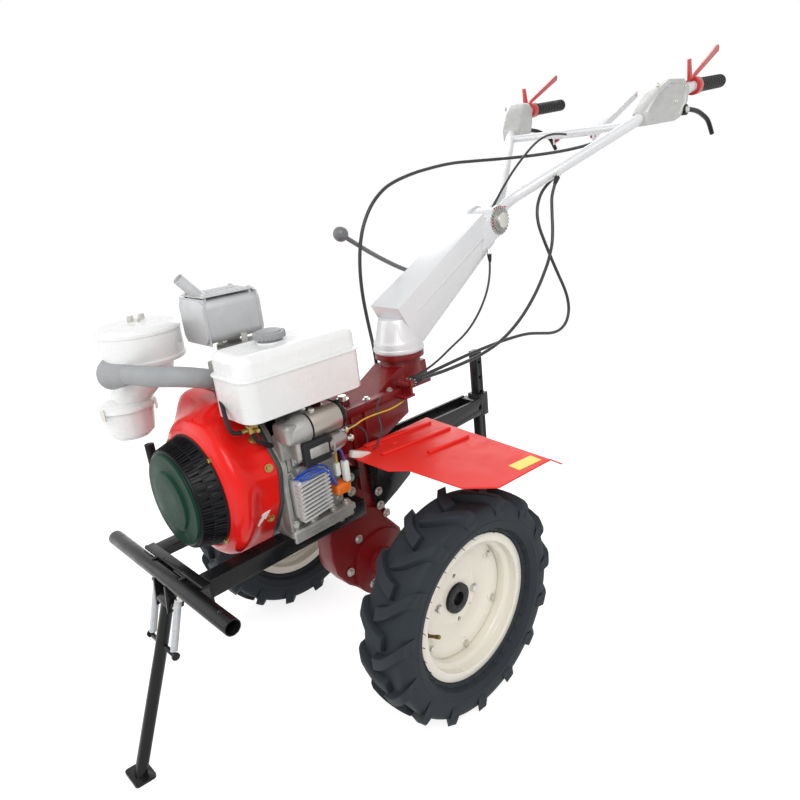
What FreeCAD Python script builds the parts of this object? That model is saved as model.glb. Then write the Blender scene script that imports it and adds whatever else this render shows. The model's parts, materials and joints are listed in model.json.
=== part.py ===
import FreeCAD, Part
import math
import os
from FreeCAD import Vector

# Power weeder (walk-behind two-wheel tiller tractor), built about its own axle.
# All sizes in mm.  +X forward, +Y to the machine's left, +Z up.  While the pieces are
# drawn the origin is on the ground under the axle; shiftX below moves the whole machine
# so that the origin is the ground point in the middle of its length.

# ---- wheels ---------------------------------------------------------------
tyreRadius = 260.0          # out to the tips of the lugs
tyreWidth = 126.0
lugHeight = 17.0
lugCount = 30               # both rows together, set alternately
treadTrack = 340.0          # centre line to tyre centre
rimWidth = 76.0
rimSeatRadius = 152.4       # 12 inch bead seat
rimFlangeRadius = rimSeatRadius + 15.1
rimWellRadius = rimSeatRadius - 13.4
rimSheet = 4.0
discInset = 18.0            # wheel disc's outer face, inboard of the tyre's centre
discFace = treadTrack - discInset
hubRadius = 34.5
hubEnd = discFace + 7
hubInner = discFace - 108
hubFlangeRadius = 78.0
hubFlangeThick = 8.0
hubBoltCircle = 58.5
shaftRadius = 16.0
shaftClearance = 0.08       # running fit of the shaft in the gearbox
seatGap = 0.3               # between round pieces that are pressed together
touchGap = 0.05             # between flat pieces bolted together

# ---- frame ----------------------------------------------------------------
railY = 115.0
railBottom = 434.0
railHeight = 38.0
railFlange = 40.0
railThick = 5.0
railFront = 450.0
railRear = 60.0
bumperX = 483.0
bumperZ = 454.0
bumperRadius = 16.0
bumperWall = 2.5
bumperHalf = 252.0

# ---- stand ----------------------------------------------------------------
standPivotX = 492.0
standPivotZ = 406.0
standFootX = 605.0          # on the ground, with the machine leaning on its stand
standLegRadius = 12.5
standPinRadius = 6.0
standKneeX = 527.0
standKneeZ = 312.0
springY = 47.0              # spring centre line from the machine's centre line
standFold = 75.0            # degrees the leg folds back under the rails

# ---- engine ---------------------------------------------------------------
crankZ = 603.0
caseRear = 100.0
caseFront = 265.0
plateThick = 10.0
shroudFront = 384.0
shroudRadius = 148.0        # round front of the fan housing
shroudTop = 768.0
shroudHalf = [              # rear outline: sideways from the crank and height, on the tank's side
    (130, 622), (131, 642), (108, 672), (74, 717), (44, 740), (22, 747), (14, 768)]
shroudFar = [(-152, 768), (-170, 742), (-166, 640), (-138, 610)]
shroudFoot = [(118, 560), (98, 526), (74, 486), (52, 440), (30, 430)]
recoilSeatRadius = 116.0
recoilFaceRadius = 97.0
recoilFront = 438.0
caseTop = 678.0
headTop = 858.0
cylinderY = -42.0
tankLowX = 50.0
tankHighX = 330.0
tankLowY = 30.0
tankHighY = 162.0
tankLowZ = 754.0
tankHighZ = 882.0

# ---- gearbox --------------------------------------------------------------
boxHalf = 66.0              # half width of the gearbox casting
boxTop = 655.0
boxFront = 96.0
boxRear = -36.0
outputFlange = 128.0        # end of the axle sleeve, from the centre line
sleeveRadius = 38.0

# ---- handle ---------------------------------------------------------------
swivelX = -200.0
swivelZ = 745.0
swivelTurn = 30.0           # degrees each way
swivelRadius = 62.0
swivelGap = 1.0
kingPinRadius = 14.0
clampX = -580.0
clampZ = 1021.0
tiltDown = 30.0             # degrees the handlebars drop
tiltUp = 10.0
clampRadius = 40.0
clampInner = 36.0           # inside half width of the fork
tubeRadius = 15.0
crossX = -985.0             # cross bar between the tubes
crossRadius = 11.0
bracketOutline = [          # lever bracket: along the tube, and height from the grip
    (8, -100), (118, -92), (140, -82), (166, -42), (172, -2), (150, 20), (92, 20), (40, -14), (0, -64)]
gripHalf = 295.0            # grip centre line from the machine's centre line
gripRadius = 19.0
gripFrontX = -1200.0
gripRearX = -1420.0
gripZ = 1332.0
gripRise = 20.0

# ---- the lean --------------------------------------------------------------
lean = 5.8                  # degrees the machine leans forward on its front stand

# ---- rear hitch -----------------------------------------------------------
postX = -490.0
postSide = 25.0
postTop = 668.0
postBottom = 210.0
hitchZ = 508.0
hitchPinRadius = 8.0

# ---- fenders --------------------------------------------------------------
fenderGap = 55.0            # from the lugs' tips up to the fender
fenderZ = 2 * tyreRadius + fenderGap
fenderSheet = 2.0

# ---- cables and small levers --------------------------------------------
cableRadius = 4.5
thinCableRadius = 3.0
cableStopX = -146.0         # ferrules on the gearbox cover where the cables end
cableStopY = (70.0, 82.0, 96.0)
cableStopZ = boxTop + 35
gearKnobRadius = 19.0


def v(x, y, z):
    return Vector(x, y, z)


def box(x0, x1, y0, y1, z0, z1):
    return Part.makeBox(x1 - x0, y1 - y0, z1 - z0, v(x0, y0, z0))


def softBox(x0, x1, y0, y1, z0, z1, radius, axis="z"):
    """A box with the four edges along one axis rounded."""
    solid = box(x0, x1, y0, y1, z0, z1)
    edges = []
    for edge in solid.Edges:
        step = edge.Vertexes[1].Point - edge.Vertexes[0].Point
        along = {"x": abs(step.x), "y": abs(step.y), "z": abs(step.z)}
        if along[axis] > 0.99 * step.Length:
            edges.append(edge)
    return solid.makeFillet(radius, edges)


def rod(p, q, radius):
    """A round bar from p to q."""
    step = q - p
    return Part.makeCylinder(radius, step.Length, p, step)


def pipe(p, q, radius, wall):
    return rod(p, q, radius).cut(rod(p, q, radius - wall))


def cone(p, q, r0, r1):
    step = q - p
    return Part.makeCone(r0, r1, step.Length, p, step)


def fuse(shapes):
    out = shapes[0]
    if len(shapes) > 1:
        out = out.multiFuse(shapes[1:])
    return out.removeSplitter()


def cutAll(shape, tools):
    return shape.cut(Part.makeCompound(tools)) if tools else shape


def prism(points, axis, low, high):
    """A flat outline pushed through from low to high along one axis."""
    make = {
        "x": lambda a, b: v(low, a, b),
        "y": lambda a, b: v(a, low, b),
        "z": lambda a, b: v(a, b, low),
    }[axis]
    ring = [make(a, b) for a, b in points]
    ring.append(ring[0])
    push = {"x": v(high - low, 0, 0), "y": v(0, high - low, 0), "z": v(0, 0, high - low)}[axis]
    return Part.Face(Part.makePolygon(ring)).extrude(push)


def turned(points, centre, axis):
    """Spin (along, radius) points about an axis through centre."""
    ring = []
    for along, radius in points:
        if axis == "y":
            ring.append(centre + v(radius, along, 0))
        elif axis == "x":
            ring.append(centre + v(along, radius, 0))
        else:
            ring.append(centre + v(radius, 0, along))
    ring.append(ring[0])
    line = {"x": v(1, 0, 0), "y": v(0, 1, 0), "z": v(0, 0, 1)}[axis]
    return Part.Face(Part.makePolygon(ring)).revolve(centre, line, 360)


def smoothPath(points, share=0.45):
    """Straight runs joined by tangent arcs that take a share of the shorter run."""
    segments = []
    start = points[0]
    radii = []
    for i in range(1, len(points) - 1):
        a, b, c = points[i - 1], points[i], points[i + 1]
        into = (b - a)
        out = (c - b)
        turn = into.getAngle(out)
        cutBack = share * min(into.Length, out.Length)
        radii.append(cutBack / math.tan(turn / 2))
        into.normalize()
        out.normalize()
        p = b - into * cutBack
        q = b + out * cutBack
        inward = (out - into)
        inward.normalize()
        radius = radii[-1]
        centre = b + inward * math.hypot(radius, cutBack)
        toward = b - centre
        toward.normalize()
        middle = centre + toward * radius
        segments.append(Part.LineSegment(start, p).toShape())
        segments.append(Part.Arc(p, middle, q).toShape())
        start = q
    segments.append(Part.LineSegment(start, points[-1]).toShape())
    return Part.Wire(segments), radii


def bentTube(points, radius, wall=0.0, share=0.45):
    wire, radii = smoothPath(points, share)
    step = points[1] - points[0]
    outer = Part.Wire(Part.makeCircle(radius, points[0], step))
    solid = wire.makePipeShell([outer], True, False)
    if wall > 0:
        inner = Part.Wire(Part.makeCircle(radius - wall, points[0], step))
        solid = solid.cut(wire.makePipeShell([inner], True, False))
    return solid


def mirrorY(shape):
    return shape.mirror(v(0, 0, 0), v(0, 1, 0))


def ringOf(count, centre, axis, first, make):
    """Copies of one shape set round an axis."""
    shapes = []
    for i in range(count):
        shape = make()
        shape.rotate(centre, axis, first + 360.0 * i / count)
        shapes.append(shape)
    return shapes


# ---- wheels ---------------------------------------------------------------
axle = v(0, 0, tyreRadius)
sideways = v(0, 1, 0)


def ringPoint(radius, y, degrees):
    """A point on the left wheel; 0 degrees is the lowest point, turning forwards."""
    angle = math.radians(degrees)
    return axle + v(radius * math.sin(angle), y, -radius * math.cos(angle))


def facetSolid(faces):
    polygons = [Part.Face(Part.makePolygon(ring + [ring[0]])) for ring in faces]
    return Part.makeSolid(Part.makeShell(polygons))


def makeCarcass(profile, count):
    """The tyre without its lugs: flat facets round a closed (y, radius) profile."""
    faces = []
    step = 360.0 / count
    for i in range(count):
        a, b = (i - 0.5) * step, (i + 0.5) * step
        for j in range(len(profile)):
            (y0, r0), (y1, r1) = profile[j], profile[(j + 1) % len(profile)]
            faces.append([ringPoint(r0, y0, a), ringPoint(r1, y1, a), ringPoint(r1, y1, b), ringPoint(r0, y0, b)])
    return facetSolid(faces)


def makeLug(side, middle):
    """One bar of the tread, from just over the centre out and down the shoulder."""
    half = tyreWidth / 2
    root = tyreRadius - lugHeight - 3
    stations = [
        (-4, 0.0, tyreRadius - 1.5, root, 11), (24, -4.0, tyreRadius, root, 10),
        (half - 10, -9.0, tyreRadius - 3, root - 4, 10.5), (half, -10.5, tyreRadius - 16, root - 16, 11),
        (half - 1.5, -11.0, tyreRadius - 42, root - 30, 8),
    ]
    rings = []
    for y, swing, top, low, wide in stations:
        tip = math.degrees(wide / tyreRadius)
        base = tip * 1.35
        at = middle + swing
        where = treadTrack + side * y
        rings.append([
            ringPoint(low, where, at - base), ringPoint(top, where, at - tip),
            ringPoint(top, where, at + tip), ringPoint(low, where, at + base)])
    faces = []
    for k in range(len(rings) - 1):
        for m in range(4):
            n = (m + 1) % 4
            a, b, c, d = rings[k][m], rings[k][n], rings[k + 1][n], rings[k + 1][m]
            faces += [[a, b, c], [a, c, d]]
    for ring in (rings[0], rings[-1]):
        faces += [[ring[0], ring[1], ring[2]], [ring[0], ring[2], ring[3]]]
    return facetSolid(faces)


def makeTyre():
    """Left tyre: a faceted carcass with two rows of slanted lugs fused to it."""
    half = tyreWidth / 2
    bead = rimWidth / 2 - 4
    seat = (rimSeatRadius + seatGap) / math.cos(math.pi / (2 * lugCount))
    flange = (rimFlangeRadius + 0.5) / math.cos(math.pi / (2 * lugCount))
    base = tyreRadius - lugHeight
    left = [(bead, seat), (bead, flange), (bead + 7, flange + 5), (half - 4, flange + 24), (half - 2, base - 30),
            (half - 5, base - 9), (half - 16, base - 1)]
    profile = [(-y, r) for y, r in left] + [(y, r) for y, r in reversed(left)]
    carcass = makeCarcass([(treadTrack + y, r) for y, r in profile], 2 * lugCount)
    lugs = []
    for i in range(lugCount):
        lugs.append(makeLug(1 if i % 2 else -1, 360.0 * i / lugCount))
    return carcass.multiFuse(lugs)


def makeRim():
    """Left rim: flanged well with a bolted disc."""
    half = rimWidth / 2
    s = rimSheet
    well = rimWellRadius
    seat = rimSeatRadius
    outer = [
        (-half, rimFlangeRadius), (-half, seat - s), (-half + 16, seat - s), (-14, well - s),
        (14, well - s), (half - 16, seat - s), (half, seat - s), (half, rimFlangeRadius),
        (half - 3.5, rimFlangeRadius), (half - 3.5, seat), (half - 15, seat), (13, well), (-13, well),
        (-half + 15, seat), (-half + 3.5, seat), (-half + 3.5, rimFlangeRadius),
    ]
    hoop = turned(outer, axle + v(0, treadTrack, 0), "y")
    face = discFace - treadTrack
    disc = [
        (face, hubRadius + seatGap), (face, 104), (face + 10, 116), (face + 10, well - s + 1),
        (face + 6, well - s + 1), (face + 6, 118), (face - s, 106), (face - s, hubRadius + seatGap),
    ]
    plate = turned(disc, axle + v(0, treadTrack, 0), "y")
    centre = axle
    slots = ringOf(2, centre, sideways, 90, lambda: softBox(
        hubBoltCircle - 11, hubBoltCircle + 11, discFace - 20, discFace + 20,
        tyreRadius - 5, tyreRadius + 5, 4.5, "y"))
    holes = ringOf(2, centre, sideways, 0, lambda: rod(
        v(hubBoltCircle, discFace - 20, tyreRadius), v(hubBoltCircle, discFace + 20, tyreRadius), 7.0))
    valve = rod(v(0, discFace - 20, 0), v(0, discFace + 20, 0), 8)
    valve.translate(ringPoint(rimWellRadius - 25, 0, 71))
    return fuse([hoop, cutAll(plate, slots + holes + [valve])])


def makeHub():
    """Left hub: tube, flange and its two big bolts."""
    z = tyreRadius
    back = discFace - rimSheet
    tube = pipe(v(0, hubInner, z), v(0, hubEnd, z), hubRadius, hubRadius - shaftRadius - touchGap)
    flange = rod(v(0, back - hubFlangeThick, z), v(0, back, z), hubFlangeRadius)
    flange = flange.cut(rod(v(0, back - 20, z), v(0, back + 20, z), hubRadius - 1))
    webs = ringOf(4, axle, sideways, 45, lambda: prism(
        [(hubRadius - 1, back - 60), (hubRadius - 1, back - 4), (hubFlangeRadius - 8, back - 4)],
        "z", z - 3, z + 3))
    body = fuse([tube, flange] + webs)
    slots = ringOf(2, axle, sideways, 90, lambda: rod(
        v(hubBoltCircle, back - 20, z), v(hubBoltCircle, back + 1, z), 6.0))
    body = cutAll(body, slots)
    bolts = ringOf(2, axle, sideways, 0, lambda: hexBolt(v(hubBoltCircle, discFace, z), v(0, 1, 0), 6.9, 11, 7, 30))
    return fuse([body] + bolts)


def hexBolt(seat, out, radius, flat, head, shank):
    """A hexagon head outside a seat, with its shank going in."""
    points = []
    for i in range(7):
        angle = math.radians(60 * i)
        points.append(v(flat * 1.1547 * math.cos(angle), flat * 1.1547 * math.sin(angle), 0))
    hexagon = Part.Face(Part.makePolygon(points)).extrude(v(0, 0, head))
    body = hexagon.fuse(Part.makeCylinder(radius, shank + 0.5, v(0, 0, -shank)))
    turn = FreeCAD.Rotation(v(0, 0, 1), out)
    body.Placement = FreeCAD.Placement(seat, turn)
    return body


def makeShaft():
    """Left half shaft, from inside the gearbox sleeve to inside the hub."""
    z = tyreRadius
    return rod(v(0, boxHalf + 6, z), v(0, hubEnd - 14, z), shaftRadius)


# ---- frame ----------------------------------------------------------------
def makeRail():
    """Left rail: an angle iron with its top flange turned inwards."""
    y = railY
    web = box(railRear, railFront, y - railThick, y, railBottom, railBottom + railHeight)
    top = box(railRear, railFront, y - railFlange, y, railBottom + railHeight - railThick, railBottom + railHeight)
    return fuse([web, top])


def makeCrossPlate():
    """Folded plate that ties the rail ends and carries the bumper and the stand bracket."""
    x0 = railFront + touchGap
    z0 = railBottom - 12
    z1 = railBottom + railHeight
    back = box(x0, x0 + 6, -railY - 8, railY + 8, z0, z1)
    top = box(x0, bumperX - bumperRadius + 4, -railY - 8, railY + 8, z1 - 6, z1)
    seat = rod(v(bumperX, -railY - 20, bumperZ), v(bumperX, railY + 20, bumperZ), bumperRadius + 0.3)
    gussets = [box(x0, bumperX, s * 60 - 4, s * 60 + 4, z0 + 2, z1) for s in (-1, 1)]
    return fuse([back, top] + gussets).cut(seat)


def makeBumper():
    return pipe(v(bumperX, -bumperHalf, bumperZ), v(bumperX, bumperHalf, bumperZ), bumperRadius, bumperWall)


def makeStandBracket():
    """Two cheeks welded under the bumper, with the stand's pivot pin."""
    cheeks = []
    for side in (-1, 1):
        y = side * 24
        outline = [
            (bumperX - 22, bumperZ - 4), (bumperX + 18, bumperZ - 4), (standPivotX + 16, standPivotZ - 14),
            (standPivotX - 18, standPivotZ - 14),
        ]
        cheeks.append(prism(outline, "y", y - 3, y + 3))
    bridge = box(bumperX - 20, bumperX - 12, -24, 24, bumperZ - 40, bumperZ - 20)
    pin = rod(v(standPivotX, -34, standPivotZ), v(standPivotX, 34, standPivotZ), standPinRadius)
    heads = [rod(v(standPivotX, s * 30, standPivotZ), v(standPivotX, s * 36, standPivotZ), 10) for s in (-1, 1)]
    hooks = [rod(v(bumperX + 4, s * 26, bumperZ - 23), v(bumperX + 4, s * (springY + 8), bumperZ - 23), 4) for s in (-1, 1)]
    tube = rod(v(bumperX, -60, bumperZ), v(bumperX, 60, bumperZ), bumperRadius + 0.3)
    plate = box(railFront + touchGap - 1, railFront + 7, -60, 60, railBottom - 14, railBottom + 60)
    return fuse(cheeks + [bridge, pin] + heads + hooks).cut(tube).cut(plate)


# ---- stand ----------------------------------------------------------------
def unlean(shape):
    """Turn a piece drawn level with the ground into the machine's leaning frame."""
    out = shape.copy()
    out.rotate(axle, sideways, -lean)
    return out


def makeStandLeg():
    p0 = v(standPivotX, 0, standPivotZ)
    knee = v(standKneeX, 0, standKneeZ)
    spot = unlean(Part.Vertex(v(standFootX, 0, 3))).Point
    sleeve = pipe(v(standPivotX, -19, standPivotZ), v(standPivotX, 19, standPivotZ), 14, 14 - standPinRadius - 0.1)
    leg = bentTube([p0, knee, spot], standLegRadius)
    leg = leg.cut(rod(v(standPivotX, -30, standPivotZ), v(standPivotX, 30, standPivotZ), standPinRadius + 0.1))
    lug = rod(v(standKneeX - 4, -springY - 8, standKneeZ + 4), v(standKneeX - 4, springY + 8, standKneeZ + 4), 5)
    plate = softBox(standFootX - 21, standFootX + 21, -30, 30, 0, 6, 7, "z")
    below = box(standFootX - 60, standFootX + 60, -60, 60, -30, 0)
    return fuse([sleeve, leg, lug, unlean(plate)]).cut(unlean(below))


def makeStandSpring(side):
    """A tension spring from the bracket's hook to the leg's lug."""
    hook = v(bumperX + 4, side * springY, bumperZ - 23)
    lug = v(standKneeX - 4, side * springY, standKneeZ + 4)
    way = lug - hook
    way.normalize()
    return rod(hook + way * (4 + seatGap), lug - way * (5 + seatGap), 7.5)


# ---- engine ---------------------------------------------------------------
def makeCrankcase():
    base = railBottom + railHeight + touchGap
    body = softBox(caseRear, caseFront, -108, 104, base, caseTop, 18, "z")
    foot = softBox(caseRear - 4, caseFront - 2, -128, 128, base, base + 12, 8, "z")
    boss = rod(v(caseRear - 8, 0, crankZ), v(caseRear + 4, 0, crankZ), 62)
    return fuse([body, foot, boss])


def makeCylinder():
    y = cylinderY
    headLow = headTop - 84
    block = softBox(118, 258, y - 60, y + 60, caseTop + touchGap, headLow, 16, "z")
    fins = []
    z = caseTop + 11
    while z < headLow - 8:
        fins.append(softBox(110, 262, y - 66, y + 66, z, z + 4, 18, "z"))
        z += 13
    head = softBox(112, 262, y - 66, y + 66, headLow, headTop - 34, 14, "z")
    cover = softBox(128, 246, y - 48, y + 48, headTop - 34, headTop, 20, "z")
    return fuse([block, head, cover] + fins)


def shroudRing():
    """Rear outline of the fan housing, anticlockwise from the near side, with a narrow foot between the rails."""
    return shroudHalf + shroudFar + [(-y, z) for y, z in shroudFoot] + list(reversed(shroudFoot))


def shroudReach(degrees, grow=0.0):
    """How far the rear outline reaches from the crank in one direction."""
    angle = math.radians(degrees)
    uy, uz = math.cos(angle), math.sin(angle)
    ring = [(y, z - crankZ) for y, z in shroudRing()]
    best = 0.0
    for (y0, z0), (y1, z1) in zip(ring, ring[1:] + ring[:1]):
        det = uy * (z1 - z0) - uz * (y1 - y0)
        if abs(det) < 1e-9:
            continue
        reach = (y0 * (z1 - z0) - z0 * (y1 - y0)) / det
        share = (y0 * uz - z0 * uy) / det
        if reach > 0 and -1e-9 <= share <= 1 + 1e-9:
            best = max(best, reach)
    return best + grow


def railRoom(degrees):
    """The farthest a point may be from the crank and still clear the rails."""
    angle = math.radians(degrees)
    side, up = abs(math.cos(angle)), math.sin(angle)
    if up > -1e-6:
        return 1e6
    inner = railY - railFlange - 6
    above = crankZ - (railBottom + railHeight + 6)
    return max(inner / max(side, 1e-6), above / -up)


def shroudPoint(x, degrees, share, radius, grow=0.0):
    """Between the rear outline (share 0) and a circle about the crank (share 1)."""
    reach = (1 - share) * shroudReach(degrees, grow) + share * radius
    reach = min(reach, railRoom(degrees))
    angle = math.radians(degrees)
    return v(x, reach * math.cos(angle), crankZ + reach * math.sin(angle))


def ringSolid(rings):
    """Triangles from ring to ring, closed by a flat face at each end."""
    count = len(rings[0])
    faces = []
    for low, high in zip(rings, rings[1:]):
        for i in range(count):
            n = (i + 1) % count
            faces += [[low[i], low[n], high[n]], [low[i], high[n], high[i]]]
    return facetSolid(faces + [list(reversed(rings[0])), rings[-1]])


def makeBackPlate():
    """Dark plate between the fan shroud and the crankcase."""
    x0 = caseFront + touchGap
    return ringSolid([[shroudPoint(x, a, 0.0, 0.0, 3.5) for a in range(0, 360, 5)] for x in (x0, x0 + plateThick)])


def makeShroud():
    """Fan housing: a round front that swells out of a squarer rear outline."""
    x0 = caseFront + 2 * touchGap + plateThick
    r = shroudRadius
    stations = [
        (x0, 0.0, r), (x0 + 30, 0.0, r), (shroudFront - 52, 0.35, r + 2), (shroudFront - 34, 0.75, r + 3),
        (shroudFront - 18, 1.0, r), (shroudFront - 7, 1.0, r - 6), (shroudFront, 1.0, recoilSeatRadius + 10)]
    return ringSolid([[shroudPoint(x, a, share, radius) for a in range(0, 360, 5)] for x, share, radius in stations])


def makeRecoil():
    """Black band of the recoil starter, with two rows of air slots round it."""
    x0 = shroudFront + touchGap
    x1 = recoilFront - 6
    band = cone(v(x0, 0, crankZ), v(x1, 0, crankZ), recoilSeatRadius, recoilFaceRadius + 3)
    centre = v(0, 0, crankZ)
    slots = []
    for low, high, first in ((x0 + 4, x0 + 22, 0.0), (x0 + 26, x1 - 4, 4.5)):
        floor = recoilSeatRadius - 6 - (low - x0) * 0.33
        slots += ringOf(40, centre, v(1, 0, 0), first, lambda: box(
            low, high, -2.6, 2.6, crankZ + floor, crankZ + recoilSeatRadius + 4))
    return cutAll(band, slots)


def makeRecoilCover():
    x0 = recoilFront - 6 + touchGap
    disc = cone(v(x0, 0, crankZ), v(recoilFront, 0, crankZ), recoilFaceRadius, recoilFaceRadius - 4)
    raised = cone(v(recoilFront - 1, 0, crankZ), v(recoilFront + 6, 0, crankZ), 62, 56)
    return fuse([disc, raised])


def makePullHandle():
    """T handle of the recoil rope, parked on its guide beside the recoil cover."""
    x, y, z = 398.0, -158.0, 648.0
    grip = rod(v(x, y, z - 24), v(x, y, z + 24), 10)
    stem = rod(v(x - 6, y + 2, z), v(360, -118, z - 4), 6)
    guide = rod(v(372, -128, z - 3), v(340, -96, z - 6), 12)
    return fuse([grip, stem, guide])


def makeTank():
    low = softBox(tankLowX, tankHighX, tankLowY, tankHighY, tankLowZ, tankHighZ - 46, 30, "z")
    top = softBox(tankLowX + 4, tankHighX - 4, tankLowY + 4, tankHighY - 4, tankHighZ - 46, tankHighZ, 26, "z")
    lip = softBox(tankLowX - 3, tankHighX + 3, tankLowY - 3, tankHighY + 3, tankHighZ - 48, tankHighZ - 44, 32, "z")
    upper = []
    for edge in top.Edges:
        if min(p.Point.z for p in edge.Vertexes) > tankHighZ - 0.1:
            upper.append(edge)
    top = top.makeFillet(18, upper)
    return fuse([low, top, lip])


def makeTankCap():
    x = (tankLowX + tankHighX) / 2 + 30
    y = (tankLowY + tankHighY) / 2
    z = tankHighZ + touchGap
    return fuse([rod(v(x, y, z), v(x, y, z + 8), 24), rod(v(x, y, z + 8), v(x, y, z + 20), 30)])


def makeTankBracket():
    """Sheet tray under the tank on two legs from the crankcase."""
    low = tankLowZ - touchGap
    tray = box(84, caseFront - 3, cylinderY + 66 + 3, 112, low - 4, low)
    legs = [box(x, x + 24, 72, 76, caseTop + touchGap, low - 3) for x in (112, 228)]
    return fuse([tray] + legs)


def makeMuffler():
    """Box silencer beside the head, with its elbow and tail pipe."""
    y = -92.0
    z = headTop + 12
    body = softBox(146, 278, y - 48, y + 52, z, z + 92, 20, "x")
    corner = v(186, y - 24, headTop - 58)
    port = rod(v(186, cylinderY - 66 - touchGap, corner.z), corner, 15)
    elbow = fuse([port, box(170, 202, corner.y - 16, port.BoundBox.YMax, corner.z - 16, z + 10)])
    root = v(240, y, z + 80)
    mouth = v(290, y, z + 138)
    inward = root - mouth
    inward.normalize()
    tail = rod(root, mouth, 12).cut(rod(mouth - inward, mouth + inward * 18, 10))
    return fuse([body, elbow, tail])


def makeCleaner():
    """Oil-bath air cleaner: drum above, neck and bowl below and ahead of it."""
    drumX, drumY = 355.0, -182.0
    bowlX, bowlY = 404.0, -214.0
    drum = turnedZ(drumX, drumY, [(800, 0), (800, 46), (846, 60), (846, 82), (914, 82), (922, 74), (926, 30), (926, 0)])
    bowl = turnedZ(bowlX, bowlY, [(684, 0), (684, 36), (694, 46), (750, 55), (750, 59), (757, 59), (764, 40), (764, 0)])
    neck = cone(v(bowlX, bowlY, 758), v(drumX + 8, drumY - 6, 812), 34, 40)
    stay = box(286, 330, -150, -100, 806, 812)
    return fuse([drum, bowl, neck, stay])


def turnedZ(x, y, points):
    """Spin (height, radius) points about an upright line."""
    ring = [v(x + r, y, z) for z, r in points]
    ring.append(ring[0])
    return Part.Face(Part.makePolygon(ring)).revolve(v(x, y, 0), v(0, 0, 1), 360)


def makeDuct():
    """Dark intake duct from the air cleaner's neck across the front to the head."""
    run = [v(420, -150, 836), v(404, -40, 842), v(364, 6, 838), v(300, -8, 812), v(262.1, -24, 800)]
    tube = bentTube(run, 20)
    step = run[1] - run[0]
    step.normalize()
    flare = cone(run[0] - step * 34, run[0] + step * 26, 34, 20.5)
    return fuse([tube, flare])


def makeStarter():
    y, z = 136.0, 700.0
    body = rod(v(122, y, z), v(216, y, z), 28)
    nose = rod(v(216, y, z), v(256, y, z), 25)
    cap = rod(v(112, y, z), v(122, y, z), 24)
    solenoid = rod(v(144, y + 14, z - 44), v(226, y + 14, z - 44), 18)
    yoke = softBox(208, 242, y - 20, y + 32, z - 64, z - 16, 8, "y")
    foot = box(206, 262, 104 + touchGap, y - 4, z - 60, z - 6)
    return fuse([body, nose, cap, solenoid, yoke, foot])


def makeRegulator():
    y = 104 + touchGap
    plate = box(160, 244, y, y + 6, 508, 632)
    block = softBox(166, 238, y + 6, y + 34, 514, 604, 5, "y")
    fins = []
    for i in range(9):
        z = 517 + 9.5 * i
        fins.append(box(168, 236, y + 34, y + 48, z, z + 4))
    return fuse([plate, block] + fins)


def makeWiring():
    """Connector bodies beside the starter."""
    y = 104 + touchGap
    return [
        softBox(118, 146, y, y + 34, 622, 644, 3, "x"),
        softBox(108, 136, y, y + 30, 576, 600, 3, "x"),
        softBox(118, 136, y, y + 22, 540, 560, 3, "x"),
    ]


# ---- gearbox --------------------------------------------------------------
def makeGearbox():
    """Cast gearbox: clutch bell, tall case and round final drive."""
    rear = boxRear
    outline = [
        (boxFront - 4, boxTop), (boxFront - 4, 560), (70, 450), (40, 410), (34, 330), (34, 250), (10, 180),
        (-36, 176), (-80, 200), (-90, 260), (-76, 316), (rear, 366), (rear, 560), (-150, 606), (-150, boxTop),
    ]
    case = prism(outline, "y", -boxHalf, boxHalf)
    final = rod(v(0, -boxHalf - 8, tyreRadius), v(0, boxHalf + 8, tyreRadius), 84)
    bell = rod(v(boxFront - 34, 0, crankZ), v(caseRear - 8 - touchGap, 0, crankZ), 84)
    sleeves = rod(v(0, -outputFlange, tyreRadius), v(0, outputFlange, tyreRadius), sleeveRadius)
    lobe = prism([
        (20, 420), (80, 430), (110, 425), (128, 408), (139, 378), (140, 332), (131, 288), (104, 246), (62, 210),
        (0, 190), (0, 300)], "y", 18, boxHalf + 2)
    case = fuse([case, final, bell, sleeves, lobe])
    bore = rod(v(0, -outputFlange - 1, tyreRadius), v(0, outputFlange + 1, tyreRadius), shaftRadius + shaftClearance)
    return case.cut(bore)


def makeGearCover():
    """Upper cover with the column's seat on top."""
    cover = softBox(-150, 60, -72, 72, boxTop + touchGap, boxTop + 20, 14, "z")
    seat = cone(v(swivelX, 0, boxTop + 10), v(swivelX, 0, swivelZ - 14), 56, 50)
    ramp = prism([(-60, boxTop + 10), (-250, boxTop + 10), (-246, swivelZ - 30), (-150, swivelZ - 30)], "y", -44, 44)
    flange = rod(v(swivelX, 0, swivelZ - 14), v(swivelX, 0, swivelZ), swivelRadius)
    pin = rod(v(swivelX, 0, swivelZ - 4), v(swivelX, 0, swivelZ + 46), kingPinRadius)
    base = softBox(-262, -100, -50, 50, boxTop + touchGap, boxTop + 20, 14, "z")
    stops = [box(-134, -128, 56, 106, boxTop + 4, cableStopZ + 9), box(-140, -104, 56, 106, boxTop + 4, boxTop + 10)]
    for y in cableStopY:
        stops.append(rod(v(cableStopX, y, cableStopZ), v(-120, y, cableStopZ), 6.5))
    stops.append(rod(v(cableStopX - 30, -66, boxTop + 10), v(cableStopX - 30, -66, cableStopZ - 10), 7))
    stops.append(box(cableStopX - 38, cableStopX - 10, -74, -40, boxTop + 6, boxTop + 14))
    return fuse([cover, seat, ramp, flange, pin, base] + stops)


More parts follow.
